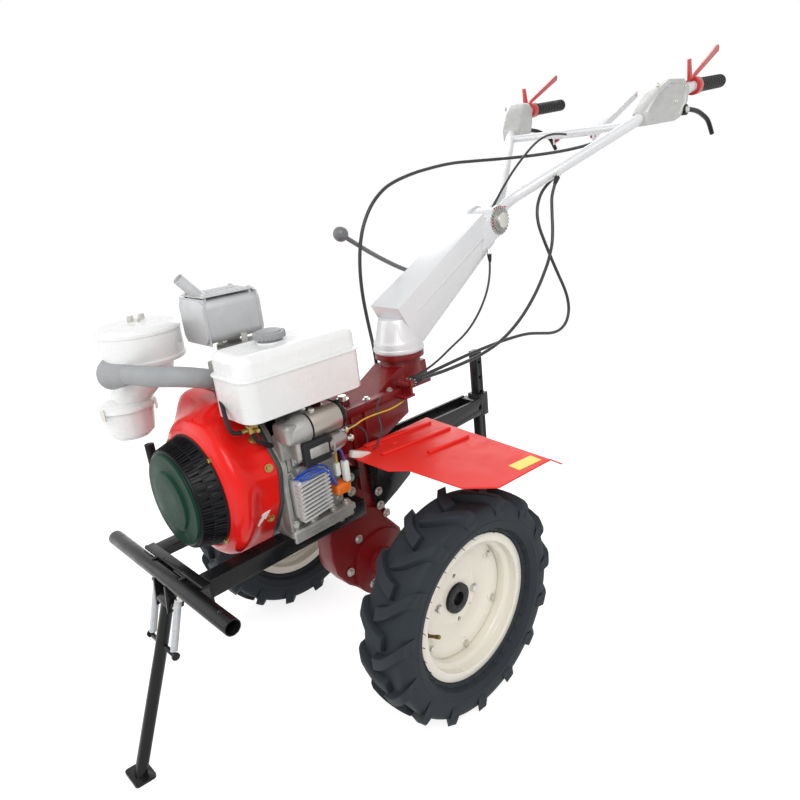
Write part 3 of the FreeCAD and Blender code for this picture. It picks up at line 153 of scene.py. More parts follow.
# sizes are in mm; the grain of castings and mouldings and the lines of drawn metal are much finer
# on the real surfaces, and are drawn as coarse as they need to be to show
paintLook = dict(driftMm=160, peelMm=2.6, scuffMm=30, rough=(0.2, 0.34), bump=0.10)
finishes = {
    # stoved alkyd enamel on pressed steel: deep red with a wet gloss
    "shroudRed": paintFinish("gloss red enamel", "E2201A", "CC1612",
                             {"Specular IOR Level": 0.18, "Coat Weight": 0.07, "Coat Roughness": 0.04},
                             dict(paintLook, rough=(0.16, 0.3))),
    # brushed enamel over a sand casting: darker and rougher red
    "gearRed": castFinish("red enamel on casting", "7C0C10", "60080B",
                          {"Specular IOR Level": 0.32, "Coat Weight": 0.08, "Coat Roughness": 0.08},
                          dict(grainMm=2.2, cloudMm=24, rough=(0.3, 0.5), bump=0.22)),
    # flat sheet enamel: lighter red, thin and bright
    "fenderRed": paintFinish("bright red sheet enamel", "E8342C", "DA2A23",
                             {"Specular IOR Level": 0.1, "Coat Weight": 0.03, "Coat Roughness": 0.1},
                             dict(paintLook, rough=(0.3, 0.46))),
    # black powder coat: glossy, lightly pebbled
    "frameBlack": paintFinish("black powder coat", "19191B", "131415",
                              {"Specular IOR Level": 0.2, "Coat Weight": 0.04},
                              dict(driftMm=90, peelMm=1.6, scuffMm=18, rough=(0.2, 0.36), bump=0.14)),
    # die-cast aluminium, left as cast: soft grey with a pebbled skin; the dark second tone, mixed in by soft clouds,
    # is painted shade standing in for the shade in the casting's recesses
    "castAlloyPaintedShade": castFinish("as-cast aluminium", "BEBEBA", "6C6B68", {"Metallic": 0.55},
                            dict(grainMm=2.2, cloudMm=30, rough=(0.34, 0.56), bump=0.32)),
    # the same metal under clear lacquer on the lever castings: paler, with a soft sheen
    "leverAlloy": castFinish("lacquered aluminium casting", "C4C4C2", "A7A7A5", {"Metallic": 0.3},
                             dict(grainMm=1.8, cloudMm=24, rough=(0.34, 0.5), bump=0.2)),
    # die-cast aluminium, shot clean: paler and finer
    "paleAlloy": castFinish("shot-blasted aluminium", "D2D2D1", "BEBEBC", {"Metallic": 0.35},
                            dict(grainMm=1.2, cloudMm=12, rough=(0.36, 0.5), bump=0.15)),
    # pale grey enamel on the tank's pressings: even, with a low gloss
    "tankGrey": paintFinish("pale grey enamel", "E6E7E6", "DCDDDC", {"Coat Weight": 0.15, "Coat Roughness": 0.1},
                            dict(paintLook, rough=(0.24, 0.36))),
    # silver paint on the handle's tube and folded sheet: pale, softly metallic
    "handleSilver": paintFinish("silver enamel", "DADBDC", "CFD0D2", {"Metallic": 0.2},
                                dict(paintLook, rough=(0.3, 0.42), bump=0.08)),
    # cream enamel on the pressed wheel: smooth, warm and glossy
    "rimCream": paintFinish("cream enamel", "E4DFD2", "DED8CA", {"Coat Weight": 0.2, "Coat Roughness": 0.06},
                            dict(driftMm=150, peelMm=3.0, scuffMm=40, rough=(0.2, 0.3), bump=0.03)),
    # natural rubber tread compound: matt, faintly blue, dusty where it is handled
    "tyreRubber": castFinish("tread rubber", "23282D", "31363B", {"Specular IOR Level": 0.16},
                             dict(grainMm=1.5, cloudMm=45, rough=(0.5, 0.72), bump=0.12)),
    # moulded black rubber of grips and hoses: nearly matt
    "softRubber": castFinish("moulded black rubber", "17181A", "202123", {"Specular IOR Level": 0.26},
                             dict(grainMm=1.0, cloudMm=20, rough=(0.5, 0.66), bump=0.15)),
    # injection-moulded black plastic with a fine spark texture
    "blackPlastic": castFinish("black moulded plastic", "111214", "18191B", {"Specular IOR Level": 0.16},
                               dict(grainMm=0.9, cloudMm=14, rough=(0.32, 0.46), bump=0.1)),
    # dark green moulding, polished
    "coverGreen": paintFinish("dark green moulded plastic", "173A2C", "112E23",
                              {"Specular IOR Level": 0.05},
                              dict(driftMm=70, peelMm=3.0, scuffMm=30, rough=(0.26, 0.38), bump=0.05)),
    # bright zinc plate: pale, faintly yellow, brushed by its drawing
    "zinc": brushedFinish("bright zinc plate", "DAD9D2", "C6C5BE", {"Metallic": 0.85},
                          dict(stretch=(1, 1, 6), lineMm=3, rough=(0.25, 0.4), bump=0.08)),
    # rolled steel shell of the starter, lacquered: warm grey, finely lined round its length
    "starterSteel": brushedFinish("lacquered rolled steel", "B3ABA2", "958D85", {"Metallic": 0.75},
                                  dict(stretch=(6, 1, 1), lineMm=2.4, rough=(0.28, 0.42), bump=0.12)),
    # turned bare steel of the shaft ends: dark, with tool lines round it
    "bareSteel": brushedFinish("turned steel", "6F6F6E", "565656", {"Metallic": 1.0},
                               dict(stretch=(1, 5, 1), lineMm=2, rough=(0.3, 0.45), bump=0.1)),
    # zinc plate passivated yellow, on small screws and tabs: dull gold
    "zincYellow": brushedFinish("yellow passivated zinc", "B59E62", "8F7C48", {"Metallic": 1.0},
                                dict(stretch=(1, 1, 5), lineMm=3, rough=(0.28, 0.42), bump=0.06)),
    # heat-resisting silver paint on the silencer: dull and slightly chalky
    "mufflerSteel": castFinish("heat-resisting silver paint", "C6C7C8", "B2B3B5", {"Metallic": 0.3},
                               dict(grainMm=2.0, cloudMm=26, rough=(0.4, 0.58), bump=0.12)),
    # drawn brass of the valve stem: brown gold, finely lined
    "brass": brushedFinish("drawn brass", "8E7440", "6E5A30", {"Metallic": 1.0},
                           dict(stretch=(1, 1, 5), lineMm=2, rough=(0.3, 0.42), bump=0.06)),
    # pressed steel can with a faint rose lacquer
    "solenoidSteel": brushedFinish("lacquered steel can", "A39C99", "8B8380", {"Metallic": 0.8},
                                   dict(stretch=(6, 1, 1), lineMm=2.4, rough=(0.26, 0.4), bump=0.08)),
    # black paint on the plate behind the fan housing: dull satin
    "plateBlack": castFinish("black painted plate", "2B2D2E", "38393A", {"Coat Weight": 0.15},
                              dict(grainMm=1.4, cloudMm=18, rough=(0.36, 0.5), bump=0.12)),
    # spring wire dipped in pale paint: light grey, slightly rough
    "springWhite": castFinish("pale painted spring wire", "CFD2D4", "B9BCBF", {"Metallic": 0.3},
                              dict(grainMm=1.0, cloudMm=8, rough=(0.34, 0.48), bump=0.08)),
    # extruded PVC over copper, in red: an even colour with a soft gloss
    "redLead": castFinish("red PVC lead", "B8262A", "9C1E22", {},
                          dict(grainMm=1.2, cloudMm=10, rough=(0.32, 0.44), bump=0.04)),
    # grey phenolic knob and painted rod: plain mid grey with a soft gloss
    "knobGrey": castFinish("grey phenolic plastic", "6E7072", "626466", {"Specular IOR Level": 0.4},
                           dict(grainMm=1.0, cloudMm=18, rough=(0.26, 0.4), bump=0.05)),
    # grey moulded rubber of the air duct: plain and matt
    "ductGrey": castFinish("moulded grey rubber", "9A9C9E", "8B8D8F", {"Specular IOR Level": 0.3},
                           dict(grainMm=1.2, cloudMm=22, rough=(0.45, 0.6), bump=0.1)),
    # moulded nylon of the plugs, undyed: a waxy, faintly warm white
    "whiteNylon": castFinish("white nylon", "E6E6E0", "D8D8D0", {},
                             dict(grainMm=1.2, cloudMm=10, rough=(0.35, 0.5), bump=0.05)),
    # the same nylon dyed orange: strong colour, waxy sheen
    "orangeNylon": castFinish("orange nylon", "E8761C", "D46412", {},
                              dict(grainMm=1.2, cloudMm=10, rough=(0.35, 0.5), bump=0.05)),
    # extruded PVC in blue: the same soft gloss
    "blueLead": castFinish("blue PVC lead", "1F55C8", "1A46A8", {},
                           dict(grainMm=1.2, cloudMm=10, rough=(0.32, 0.44), bump=0.04)),
    # extruded PVC in yellow: the same soft gloss
    "yellowLead": castFinish("yellow PVC lead", "D9B51E", "C4A014", {},
                             dict(grainMm=1.2, cloudMm=10, rough=(0.32, 0.44), bump=0.04)),
    # extruded PVC sheath of the control cables: black with a dull gloss
    "cableBlack": castFinish("black PVC sheath", "202124", "2A2B2E", {},
                             dict(grainMm=1.0, cloudMm=14, rough=(0.34, 0.46), bump=0.06)),
    # vinyl dipped over steel: thick, rounded red with a soft shine
    "leverRed": paintFinish("red dipped vinyl", "C5221F", "A81A18", {"Coat Weight": 0.3, "Coat Roughness": 0.2},
                            dict(paintLook, rough=(0.3, 0.42))),
    # blank polyester film on the fender: flat, smooth yellow
    "plateYellow": paintFinish("yellow printed film", "F2D21C", "E8C614", {},
                               dict(paintLook, rough=(0.3, 0.4), bump=0.03)),
    # the same film in white
    "plateWhite": paintFinish("white printed film", "EDEDEB", "E2E2E0", {},
                              dict(paintLook, rough=(0.3, 0.4), bump=0.03)),
}
print("stage: materials,", len(finishes))


def linked(name, data):
    thing = bpy.data.objects.new(name, data)
    scene.collection.objects.link(thing)
    return thing


def dressed(name, mesh, finish, smooth):
    # in its finish, smooth but for edges sharper than the angle
    mesh.materials.clear()
    mesh.materials.append(finishes[finish])
    mesh.polygons.foreach_set("use_smooth", [True] * len(mesh.polygons))
    mesh.set_sharp_from_angle(angle=math.radians(smooth))
    return linked(name, mesh)


def finishPiece(name, mesh, body, finish, replaced=(), smooth=32):
    # a mesh already in its place becomes a piece of the machine
    thing = dressed(name, mesh, finish, smooth)
    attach(thing, body)
    if replaced:
        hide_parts(*replaced)
    return thing


def evaluated(thing):
    bpy.context.view_layer.update()
    graph = bpy.context.evaluated_depsgraph_get()
    return bpy.data.meshes.new_from_object(thing.evaluated_get(graph), depsgraph=graph)


def baked(thing):
    # the shape that its modifiers give, as a plain mesh; the object goes
    mesh = evaluated(thing)
    bpy.data.objects.remove(thing)
    return mesh


def meshOf(shape, name):
    mesh = bpy.data.meshes.new(name)
    shape.to_mesh(mesh)
    shape.free()
    return mesh


def tidied(mesh):
    shape = bmesh.new()
    shape.from_mesh(mesh)
    bmesh.ops.remove_doubles(shape, verts=shape.verts, dist=1e-6)
    bmesh.ops.recalc_face_normals(shape, faces=shape.faces)
    shape.to_mesh(mesh)
    shape.free()
    return mesh


def bevelled(mesh, width, segments=2, angle=32):
    # breaks the hard edges, as paint and casting do
    thing = linked("work", mesh)
    edge = thing.modifiers.new("edge", "BEVEL")
    edge.width = width
    edge.segments = segments
    edge.limit_method = "ANGLE"
    edge.angle_limit = math.radians(angle)
    edge.use_clamp_overlap = True
    return baked(thing)


def nodeCopy(node):
    # a CAD node's mesh, merged, with its flat faces made whole
    mesh = frame["nodes"][node].data.copy()
    shape = bmesh.new()
    shape.from_mesh(mesh)
    bmesh.ops.remove_doubles(shape, verts=shape.verts, dist=2e-6)
    bmesh.ops.dissolve_limit(shape, angle_limit=math.radians(0.6), verts=shape.verts, edges=shape.edges,
                             delimit={"NORMAL"})
    for layer in list(shape.loops.layers.uv):
        shape.loops.layers.uv.remove(layer)
    shape.to_mesh(mesh)
    shape.free()
    return mesh


def softened(node, finish, width):
    mesh = bevelled(nodeCopy(node), width)
    return finishPiece(node + "_dressed", mesh, bodyOf[node], finish, (node,))


def keepNode(node, finish):
    thing = frame["nodes"][node]
    thing.data.materials.clear()
    thing.data.materials.append(finishes[finish])


def lathe(profile, count, closed=True):
    # (radius, height) points turned about z
    shape = bmesh.new()
    rings = []
    for radius, height in profile:
        if radius < 1e-6:
            rings.append([shape.verts.new((0, 0, height))])
            continue
        rings.append([shape.verts.new((radius * math.cos(2 * math.pi * i / count),
                                       radius * math.sin(2 * math.pi * i / count), height)) for i in range(count)])
    pairs = list(zip(rings, rings[1:])) + ([(rings[-1], rings[0])] if closed else [])
    for low, high in pairs:
        for i in range(count):
            n = (i + 1) % count
            if len(low) == 1 and len(high) == 1:
                continue
            if len(low) == 1:
                shape.faces.new((low[0], high[n], high[i]))
            elif len(high) == 1:
                shape.faces.new((low[i], low[n], high[0]))
            else:
                shape.faces.new((low[i], low[n], high[n], high[i]))
    bmesh.ops.recalc_face_normals(shape, faces=shape.faces)
    return meshOf(shape, "turned")


def placed(mesh, matrix):
    mesh.transform(matrix)
    if matrix.determinant() < 0:
        mesh.flip_normals()
    return mesh


def joined(meshes):
    shape = bmesh.new()
    for mesh in meshes:
        shape.from_mesh(mesh)
    return meshOf(shape, "joined")


def block(x0, x1, y0, y1, z0, z1, bevel=0.0):
    shape = bmesh.new()
    bmesh.ops.create_cube(shape, size=1.0)
    bmesh.ops.scale(shape, vec=(x1 - x0, y1 - y0, z1 - z0), verts=shape.verts)
    bmesh.ops.translate(shape, vec=((x0 + x1) / 2, (y0 + y1) / 2, (z0 + z1) / 2), verts=shape.verts)
    if bevel:
        bmesh.ops.bevel(shape, geom=shape.edges[:], offset=bevel, segments=2, profile=0.5, affect="EDGES")
    return meshOf(shape, "block")


def facing(spot, out):
    # a matrix that stands a piece drawn along z on a spot, pointing outwards
    return Matrix.Translation(spot) @ Vector(out).to_track_quat("Z", "Y").to_matrix().to_4x4()


def foreAndAft(x, y, z):
    # a matrix that lays a piece drawn along z on the machine's length
    return Matrix.Translation((x, y, z)) @ Matrix.Rotation(math.radians(90), 4, "Y")


def turnedAt(profile, sides, spot, out):
    return placed(lathe(profile, sides, False), facing(spot, out))


def tubeMesh(points, radius, nurbs=True, sides=5, steps=10):
    # a round tube along a smooth spline through listed points
    curve = bpy.data.curves.new("tube", "CURVE")
    curve.dimensions = "3D"
    spline = curve.splines.new("NURBS" if nurbs else "POLY")
    spline.points.add(len(points) - 1)
    for point, spot in zip(spline.points, points):
        point.co = (*spot, 1.0)
    if nurbs:
        spline.order_u = 3
        spline.use_endpoint_u = True
        spline.resolution_u = steps
    curve.bevel_depth = radius
    curve.bevel_resolution = sides
    curve.use_fill_caps = True
    return tidied(baked(linked("tube", curve)))


def treeWith(name, inputs):
    tree = bpy.data.node_groups.new(name, "GeometryNodeTree")
    tree.interface.new_socket("Geometry", in_out="INPUT", socket_type="NodeSocketGeometry")
    for label, kind in inputs:
        tree.interface.new_socket(label, in_out="INPUT", socket_type=kind)
    tree.interface.new_socket("Geometry", in_out="OUTPUT", socket_type="NodeSocketGeometry")
    start = put(tree, "NodeGroupInput")
    end = put(tree, "NodeGroupOutput")
    return tree, start, end


def endTree(tree, start, end, copies):
    # real geometry in its own finish, because the export drops instances
    real = put(tree, "GeometryNodeRealizeInstances", None, {"Geometry": copies.outputs["Instances"]})
    inFinish = put(tree, "GeometryNodeSetMaterial", None, {
        "Geometry": real.outputs["Geometry"], "Material": start.outputs["Material"]})
    tree.links.new(inFinish.outputs["Geometry"], end.inputs["Geometry"])
    return tree


def buildRingTree():
    # one drawn piece, repeated round an axis through the origin
    tree, start, end = treeWith("ringOf", [
        ("Piece", "NodeSocketObject"), ("Count", "NodeSocketInt"), ("First Angle", "NodeSocketFloat"),
        ("Axis", "NodeSocketVector"), ("Material", "NodeSocketMaterial")])
    spots = put(tree, "GeometryNodePoints", None, {"Count": start.outputs["Count"]})
    index = put(tree, "GeometryNodeInputIndex")
    step = put(tree, "ShaderNodeMath", {"operation": "DIVIDE"}, {0: 2 * math.pi, 1: start.outputs["Count"]})
    angle = put(tree, "ShaderNodeMath", {"operation": "MULTIPLY_ADD"},
                {0: index.outputs["Index"], 1: step.outputs["Value"], 2: start.outputs["First Angle"]})
    turn = put(tree, "FunctionNodeAxisAngleToRotation", None,
               {"Axis": start.outputs["Axis"], "Angle": angle.outputs["Value"]})
    drawn = put(tree, "GeometryNodeObjectInfo", None, {"Object": start.outputs["Piece"]})
    copies = put(tree, "GeometryNodeInstanceOnPoints", None, {
        "Points": spots.outputs["Points"], "Instance": drawn.outputs["Geometry"],
        "Rotation": turn.outputs["Rotation"]})
    return endTree(tree, start, end, copies)


def buildSpotTree():
    # one drawn piece on every vertex, stood up along the vertex's own direction and scaled
    tree, start, end = treeWith("onSpots", [
        ("Piece", "NodeSocketObject"), ("Size", "NodeSocketFloat"), ("Material", "NodeSocketMaterial")])
    out = put(tree, "GeometryNodeInputNamedAttribute", {"data_type": "FLOAT_VECTOR"}, {"Name": "outward"})
    turn = put(tree, "FunctionNodeAlignRotationToVector", {"axis": "Z"}, {"Vector": out.outputs["Attribute"]})
    drawn = put(tree, "GeometryNodeObjectInfo", None, {"Object": start.outputs["Piece"]})
    copies = put(tree, "GeometryNodeInstanceOnPoints", None, {
        "Points": start.outputs["Geometry"], "Instance": drawn.outputs["Geometry"],
        "Rotation": turn.outputs["Rotation"], "Scale": start.outputs["Size"]})
    return endTree(tree, start, end, copies)


ringTree = buildRingTree()
spotTree = buildSpotTree()


def runTree(tree, carrier, values):
    # the modifier's result as a plain mesh
    thing = linked("work", carrier)
    modifier = thing.modifiers.new("repeat", "NODES")
    modifier.node_group = tree
    for socket in tree.interface.items_tree:
        if socket.in_out == "INPUT" and socket.name in values:
            modifier[socket.identifier] = values[socket.name]
    return baked(thing)


def repeated(tree, mesh, carrier, finish, values):
    source = linked("source", mesh)
    made = runTree(tree, carrier, {"Piece": source, "Material": finishes[finish], **values})
    bpy.data.objects.remove(source)
    return made


def ringOf(mesh, count, first, axis, finish):
    return repeated(ringTree, mesh, bpy.data.meshes.new("empty"), finish,
                    {"Count": count, "First Angle": first, "Axis": axis})


def onSpots(mesh, spots, size, finish):
    # spots are (place, outward) pairs in the drawing's own frame
    carrier = bpy.data.meshes.new("spots")
    carrier.from_pydata([tuple(place) for place, out in spots], [], [])
    outward = carrier.attributes.new("outward", "FLOAT_VECTOR", "POINT")
    for i, (place, out) in enumerate(spots):
        outward.data[i].vector = Vector(out)
    return repeated(spotTree, mesh, carrier, finish, {"Size": size})


tyre = dict(outer=260.0, half=63.0, lugHeight=17.0, lugCount=30, beadHalf=34.0, seat=152.8, flange=168.3,
            lugEdge=2.4, whiskerCount=34, whiskerLength=14.0)


def wheelSpot(radius, y, degrees):
    # on a wheel about its own axle; 0 is the lowest point, turning forwards, and y is outwards
    angle = math.radians(degrees)
    return Vector((radius * math.sin(angle), y, -radius * math.cos(angle)))


def tyreCarcass():
    half, base = tyre["half"], tyre["outer"] - tyre["lugHeight"]
    seat, flange, bead = tyre["seat"], tyre["flange"], tyre["beadHalf"]
    side = [
        (seat, bead - 1), (seat, bead), (flange - 1, bead), (flange, bead + 0.6), (flange + 2.5, bead + 4.5),
        (flange + 6, bead + 7.5), (flange + 8, bead + 8.2), (flange + 10, bead + 8.0), (flange + 14, half - 9),
        (flange + 20, half - 5.5), (flange + 26, half - 3.6), (flange + 30, half - 2.6), (flange + 31, half - 1.6),
        (flange + 33, half - 1.6), (flange + 34, half - 2.4), (base - 34, half - 2), (base - 30, half - 2),
        (base - 18, half - 3), (base - 9, half - 5.2), (base - 4.5, half - 9), (base - 1.5, half - 15),
        (base, half - 23), (base + 0.4, half - 36)]
    profile = [(r, -y) for r, y in side] + [(r, y) for r, y in reversed(side)]
    mesh = lathe(profile, 160)
    mesh.transform(Matrix.Rotation(math.radians(-90), 4, "X"))
    return mesh


def tyreLug(side):
    # one bar of the tread, from just over the centre out and down the shoulder
    half, outer, root = tyre["half"], tyre["outer"], tyre["outer"] - tyre["lugHeight"] - 3
    stations = [
        (-14, 0.0, outer - 2.0, root, 14.5), (0, 1.0, outer - 0.4, root, 13.6), (14, 2.6, outer, root, 13),
        (28, 5.0, outer, root - 1, 12.6), (40, 7.6, outer - 1.2, root - 2, 12.6),
        (half - 10, 10.6, outer - 3.4, root - 4, 13),
        (half - 4, 12.0, outer - 8, root - 10, 13.4), (half, 13.0, outer - 16, root - 16, 13.4),
        (half - 0.4, 13.6, outer - 30, root - 24, 12), (half - 1.5, 14.4, outer - 44, root - 30, 9.5)]
    shape = bmesh.new()
    rings = []
    for y, swing, top, low, wide in stations:
        tip = math.degrees(wide / outer)
        base = tip * 1.35
        rings.append([shape.verts.new(wheelSpot(r, side * y, swing + a)) for r, a in (
            (low, -base), (top, -tip), (top, tip), (low, base))])
    for low, high in zip(rings, rings[1:]):
        for m in range(4):
            n = (m + 1) % 4
            shape.faces.new((low[m], low[n], high[n], high[m]))
    shape.faces.new(rings[0])
    shape.faces.new(rings[-1][::-1])
    bmesh.ops.recalc_face_normals(shape, faces=shape.faces)
    return bevelled(meshOf(shape, "lug"), tyre["lugEdge"], 3, 25)


def makeTyre(side):
    sideways = (0, -1, 0)  # turns forwards from the lowest point
    step = 2 * math.pi / tyre["lugCount"]
    outerRow = ringOf(tyreLug(1), tyre["lugCount"] // 2, step, sideways, "tyreRubber")
    innerRow = ringOf(tyreLug(-1), tyre["lugCount"] // 2, 0.0, sideways, "tyreRubber")
    whisker = lathe([(0.9, -2), (0.7, tyre["whiskerLength"]), (0, tyre["whiskerLength"])], 6, False)
    spots = []
    for i in range(tyre["whiskerCount"]):
        angle = 360.0 * (i + 0.35) / tyre["whiskerCount"]
        radius = tyre["flange"] + 5 + 1.5 * (i % 3)
        spots.append((wheelSpot(radius, tyre["beadHalf"] + 7, angle), (0.2 * (i % 2) - 0.1, 1, 0.12 * (i % 3) - 0.1)))
    whiskers = onSpots(whisker, spots, 1.0, "tyreRubber")
    mesh = joined([tyreCarcass(), outerRow, innerRow, whiskers])
    placed(mesh, wheels[side])
    return finishPiece("tyre_" + side + "_dressed", mesh, "wheel_" + side, "tyreRubber",
                       ("tyre_" + side,), 40)


for side in ("left", "right"):
    makeTyre(side)
print("stage: tyres")


edgeWidths = {  # node: (finish, edge radius in mm)
    "bumper_tube": ("frameBlack", 0.8), "cross_plate": ("frameBlack", 1.2), "stand_bracket": ("frameBlack", 1.0),
    "rail_left": ("frameBlack", 1.4), "rail_right": ("frameBlack", 1.4), "stand_leg": ("frameBlack", 1.0),
    "crankcase": ("castAlloyPaintedShade", 3.0), "cylinder": ("castAlloyPaintedShade", 1.2), "back_plate": ("plateBlack", 1.2),
    "recoil_band": ("blackPlastic", 0.7),
    "pull_handle": ("blackPlastic", 2.0), "fuel_tank": ("tankGrey", 1.5), "tank_cap": ("ductGrey", 2.5),
    "tank_bracket": ("frameBlack", 0.8), "muffler": ("mufflerSteel", 3.0), "air_cleaner": ("tankGrey", 2.0),
    "intake_duct": ("ductGrey", 1.5),
    "gearbox_case": ("gearRed", 4.0), "gearbox_cover": ("gearRed", 2.5),
    "mount_blocks": ("frameBlack", 1.0), "rear_hitch": ("frameBlack", 1.2), "depth_bar": ("frameBlack", 1.5),
    "fender_brackets": ("frameBlack", 1.0),
    "handle_column": ("handleSilver", 2.5), "clamp_bolt": ("zinc", 1.5),
    "gear_lever": ("knobGrey", 0.0), "handlebar": ("handleSilver", 0.6), "handle_panel": ("handleSilver", 0.7),
    "grips": ("softRubber", 1.6), "clutch_levers": ("blackPlastic", 1.5),
    "red_levers": ("leverRed", 1.6), "half_shaft_left": ("bareSteel", 0.0), "half_shaft_right": ("bareSteel", 0.0),
}
for node, (finish, width) in edgeWidths.items():
    if width:
        softened(node, finish, width / 1000)
    else:
        keepNode(node, finish)
print("stage: rigid nodes")


def piece(name, meshes, body, finish, replaced=(), smooth=32):
    # parts drawn in the machine's level frame, in mm, become one piece
    mesh = joined(meshes) if len(meshes) > 1 else meshes[0]
    return finishPiece(name, placed(mesh, machine), body, finish, replaced, smooth)


hexCorners = 1.1547  # across the corners for one across the flats


def hexHead(flat, height, washer=0.0, washerThick=1.6):
    # a chamfered hexagon head on its washer, standing on z = 0
    corner = flat / 2 * hexCorners
    shape = bmesh.new()
    rings = []
    for radius, z in ((corner, washerThick if washer else 0), (corner, height - 1.2), (corner * 0.9, height)):
        rings.append([shape.verts.new((radius * math.cos(math.pi * i / 3), radius * math.sin(math.pi * i / 3), z))
                      for i in range(6)])
    for low, high in zip(rings, rings[1:]):
        for i in range(6):
            n = (i + 1) % 6
            shape.faces.new((low[i], low[n], high[n], high[i]))
    shape.faces.new(rings[-1])
    shape.faces.new(rings[0][::-1])
    mesh = meshOf(shape, "head")
    if washer:
        ring = lathe([(0, 0), (washer, 0), (washer, washerThick), (0, washerThick)], 20, False)
        mesh = joined([mesh, ring])
    return mesh


def domeHead(radius, height):
    # a round rivet or screw head
    arc = [(radius * math.cos(t), height * math.sin(t)) for t in [math.pi / 2 * i / 5 for i in range(6)]]
    return lathe([(0, 0)] + arc[:-1] + [(0, height)], 16, False)


def barBetween(a, b, radius, sides=20):
    # a round bar from a to b
    step = Vector(b) - Vector(a)
    mesh = lathe([(0, 0), (radius, 0), (radius, step.length), (0, step.length)], sides, False)
    return placed(mesh, facing(a, step))


def loftRings(rings):
    # rings of points, each closed on itself
    shape = bmesh.new()
    made = [[shape.verts.new(point) for point in ring] for ring in rings]
    for low, high in zip(made, made[1:]):
        for i in range(len(low)):
            n = (i + 1) % len(low)
            shape.faces.new((low[i], low[n], high[n], high[i]))
    shape.faces.new(made[0][::-1])
    shape.faces.new(made[-1])
    bmesh.ops.recalc_face_normals(shape, faces=shape.faces)
    return meshOf(shape, "loft")


def outlinePlate(points, axis, low, high, bevel=0.0):
    # a flat outline pushed through along one axis
    make = {"x": lambda a, b, c: (c, a, b), "y": lambda a, b, c: (a, c, b), "z": lambda a, b, c: (a, b, c)}[axis]
    mesh = loftRings([[make(a, b, low) for a, b in points], [make(a, b, high) for a, b in points]])
    return bevelled(mesh, bevel, 2, 25) if bevel else mesh


fan = dict(round=148.0, crank=603.0, lipOut=126.0, lipIn=118.5, corner=5.0, flange=12.0, flangeFront=264.9, fins=96,
           steps=180, railSide=69, railDrop=125,  # keeps clear of the rails
           dent=7.0, dentTurn=-8, dentSpan=13, dentX=318, dentLength=15)
fanOutline = [
    (130, 622), (131, 642), (108, 672), (74, 717), (44, 740), (22, 747), (14, 768), (-152, 768), (-170, 742),
    (-166, 640), (-138, 610), (-118, 560), (-98, 526), (-74, 486), (-52, 440), (-30, 430), (30, 430), (52, 440),
    (74, 486), (98, 526), (118, 560)]


def outlineReach(degrees):
    angle = math.radians(degrees)
    uy, uz = math.cos(angle), math.sin(angle)
    ring = [(y, z - fan["crank"]) for y, z in fanOutline]
    best = 0.0
    for (y0, z0), (y1, z1) in zip(ring, ring[1:] + ring[:1]):
        det = uy * (z1 - z0) - uz * (y1 - y0)
        if abs(det) < 1e-9:
            continue
        reach, share = (y0 * (z1 - z0) - z0 * (y1 - y0)) / det, (y0 * uz - z0 * uy) / det
        if reach > 0 and -1e-9 <= share <= 1 + 1e-9:
            best = max(best, reach)
    return best


def softReach(degrees):
    # the outline with its corners rounded over a few degrees
    taps = [(-1.0, 1), (-0.5, 2), (0.0, 3), (0.5, 2), (1.0, 1)]
    return sum(w * outlineReach(degrees + fan["corner"] * t) for t, w in taps) / 9


def fanPoint(x, degrees, share, radius, grow=0.0):
    reach = (1 - share) * (softReach(degrees) + grow) + share * radius
    low = math.sin(math.radians(degrees))
    if low < -1e-6:  # clear of the rails
        reach = min(reach, max(fan["railSide"] / max(abs(math.cos(math.radians(degrees))), 1e-6),
                               fan["railDrop"] / -low))
    off = (degrees - fan["dentTurn"] + 180) % 360 - 180
    dent = fan["dent"] * math.exp(-(off / fan["dentSpan"]) ** 2 - ((x - fan["dentX"]) / fan["dentLength"]) ** 2)
    angle = math.radians(degrees)
    return (x, (reach - dent) * math.cos(angle), fan["crank"] + (reach - dent) * math.sin(angle))


def makeFanHousing():
    r = fan["round"]
    stations = [
        (275.1, 0, r), (277, 0, r), (290, 0.0, r), (303, 0.03, r), (314, 0.12, r + 1), (323, 0.26, r + 2),
        (331, 0.42, r + 2.5), (338, 0.57, r + 3), (345, 0.7, r + 3), (351, 0.82, r + 3), (357, 0.92, r + 2.5),
        (362, 0.98, r + 1.5), (367, 1, r - 0.5), (371.5, 1, r - 3.5), (375, 1, r - 7.5), (377.5, 1, r - 12),
        (379, 1, r - 16), (380.5, 1, fan["lipOut"] + 1.5), (382.5, 1, fan["lipOut"]), (383.6, 1, fan["lipOut"] - 1.5),
        (384, 1, fan["lipOut"] - 3), (384, 1, fan["lipIn"] + 1), (383.4, 1, fan["lipIn"]), (372, 1, fan["lipIn"]),
        (371, 1, 112)]
    rings = [[fanPoint(x, 360 * i / fan["steps"], share,
                       radius) for i in range(fan["steps"])] for x, share, radius in stations]
    piece("fan_housing", [loftRings(rings)], "chassis", "shroudRed", ("fan_shroud",), 50)


def makeFlange():
    # the crankcase's own flange, seen as a pale edge behind the black plate
    x1 = fan["flangeFront"]
    rings = [[fanPoint(x, 360 * i / fan["steps"], 0, 0, grow) for i in range(fan["steps"])]
             for x, grow in ((x1 - fan["flange"], 0.5), (x1 - fan["flange"] + 1.5, 2.2), (x1, 2.2))]
    return loftRings(rings)


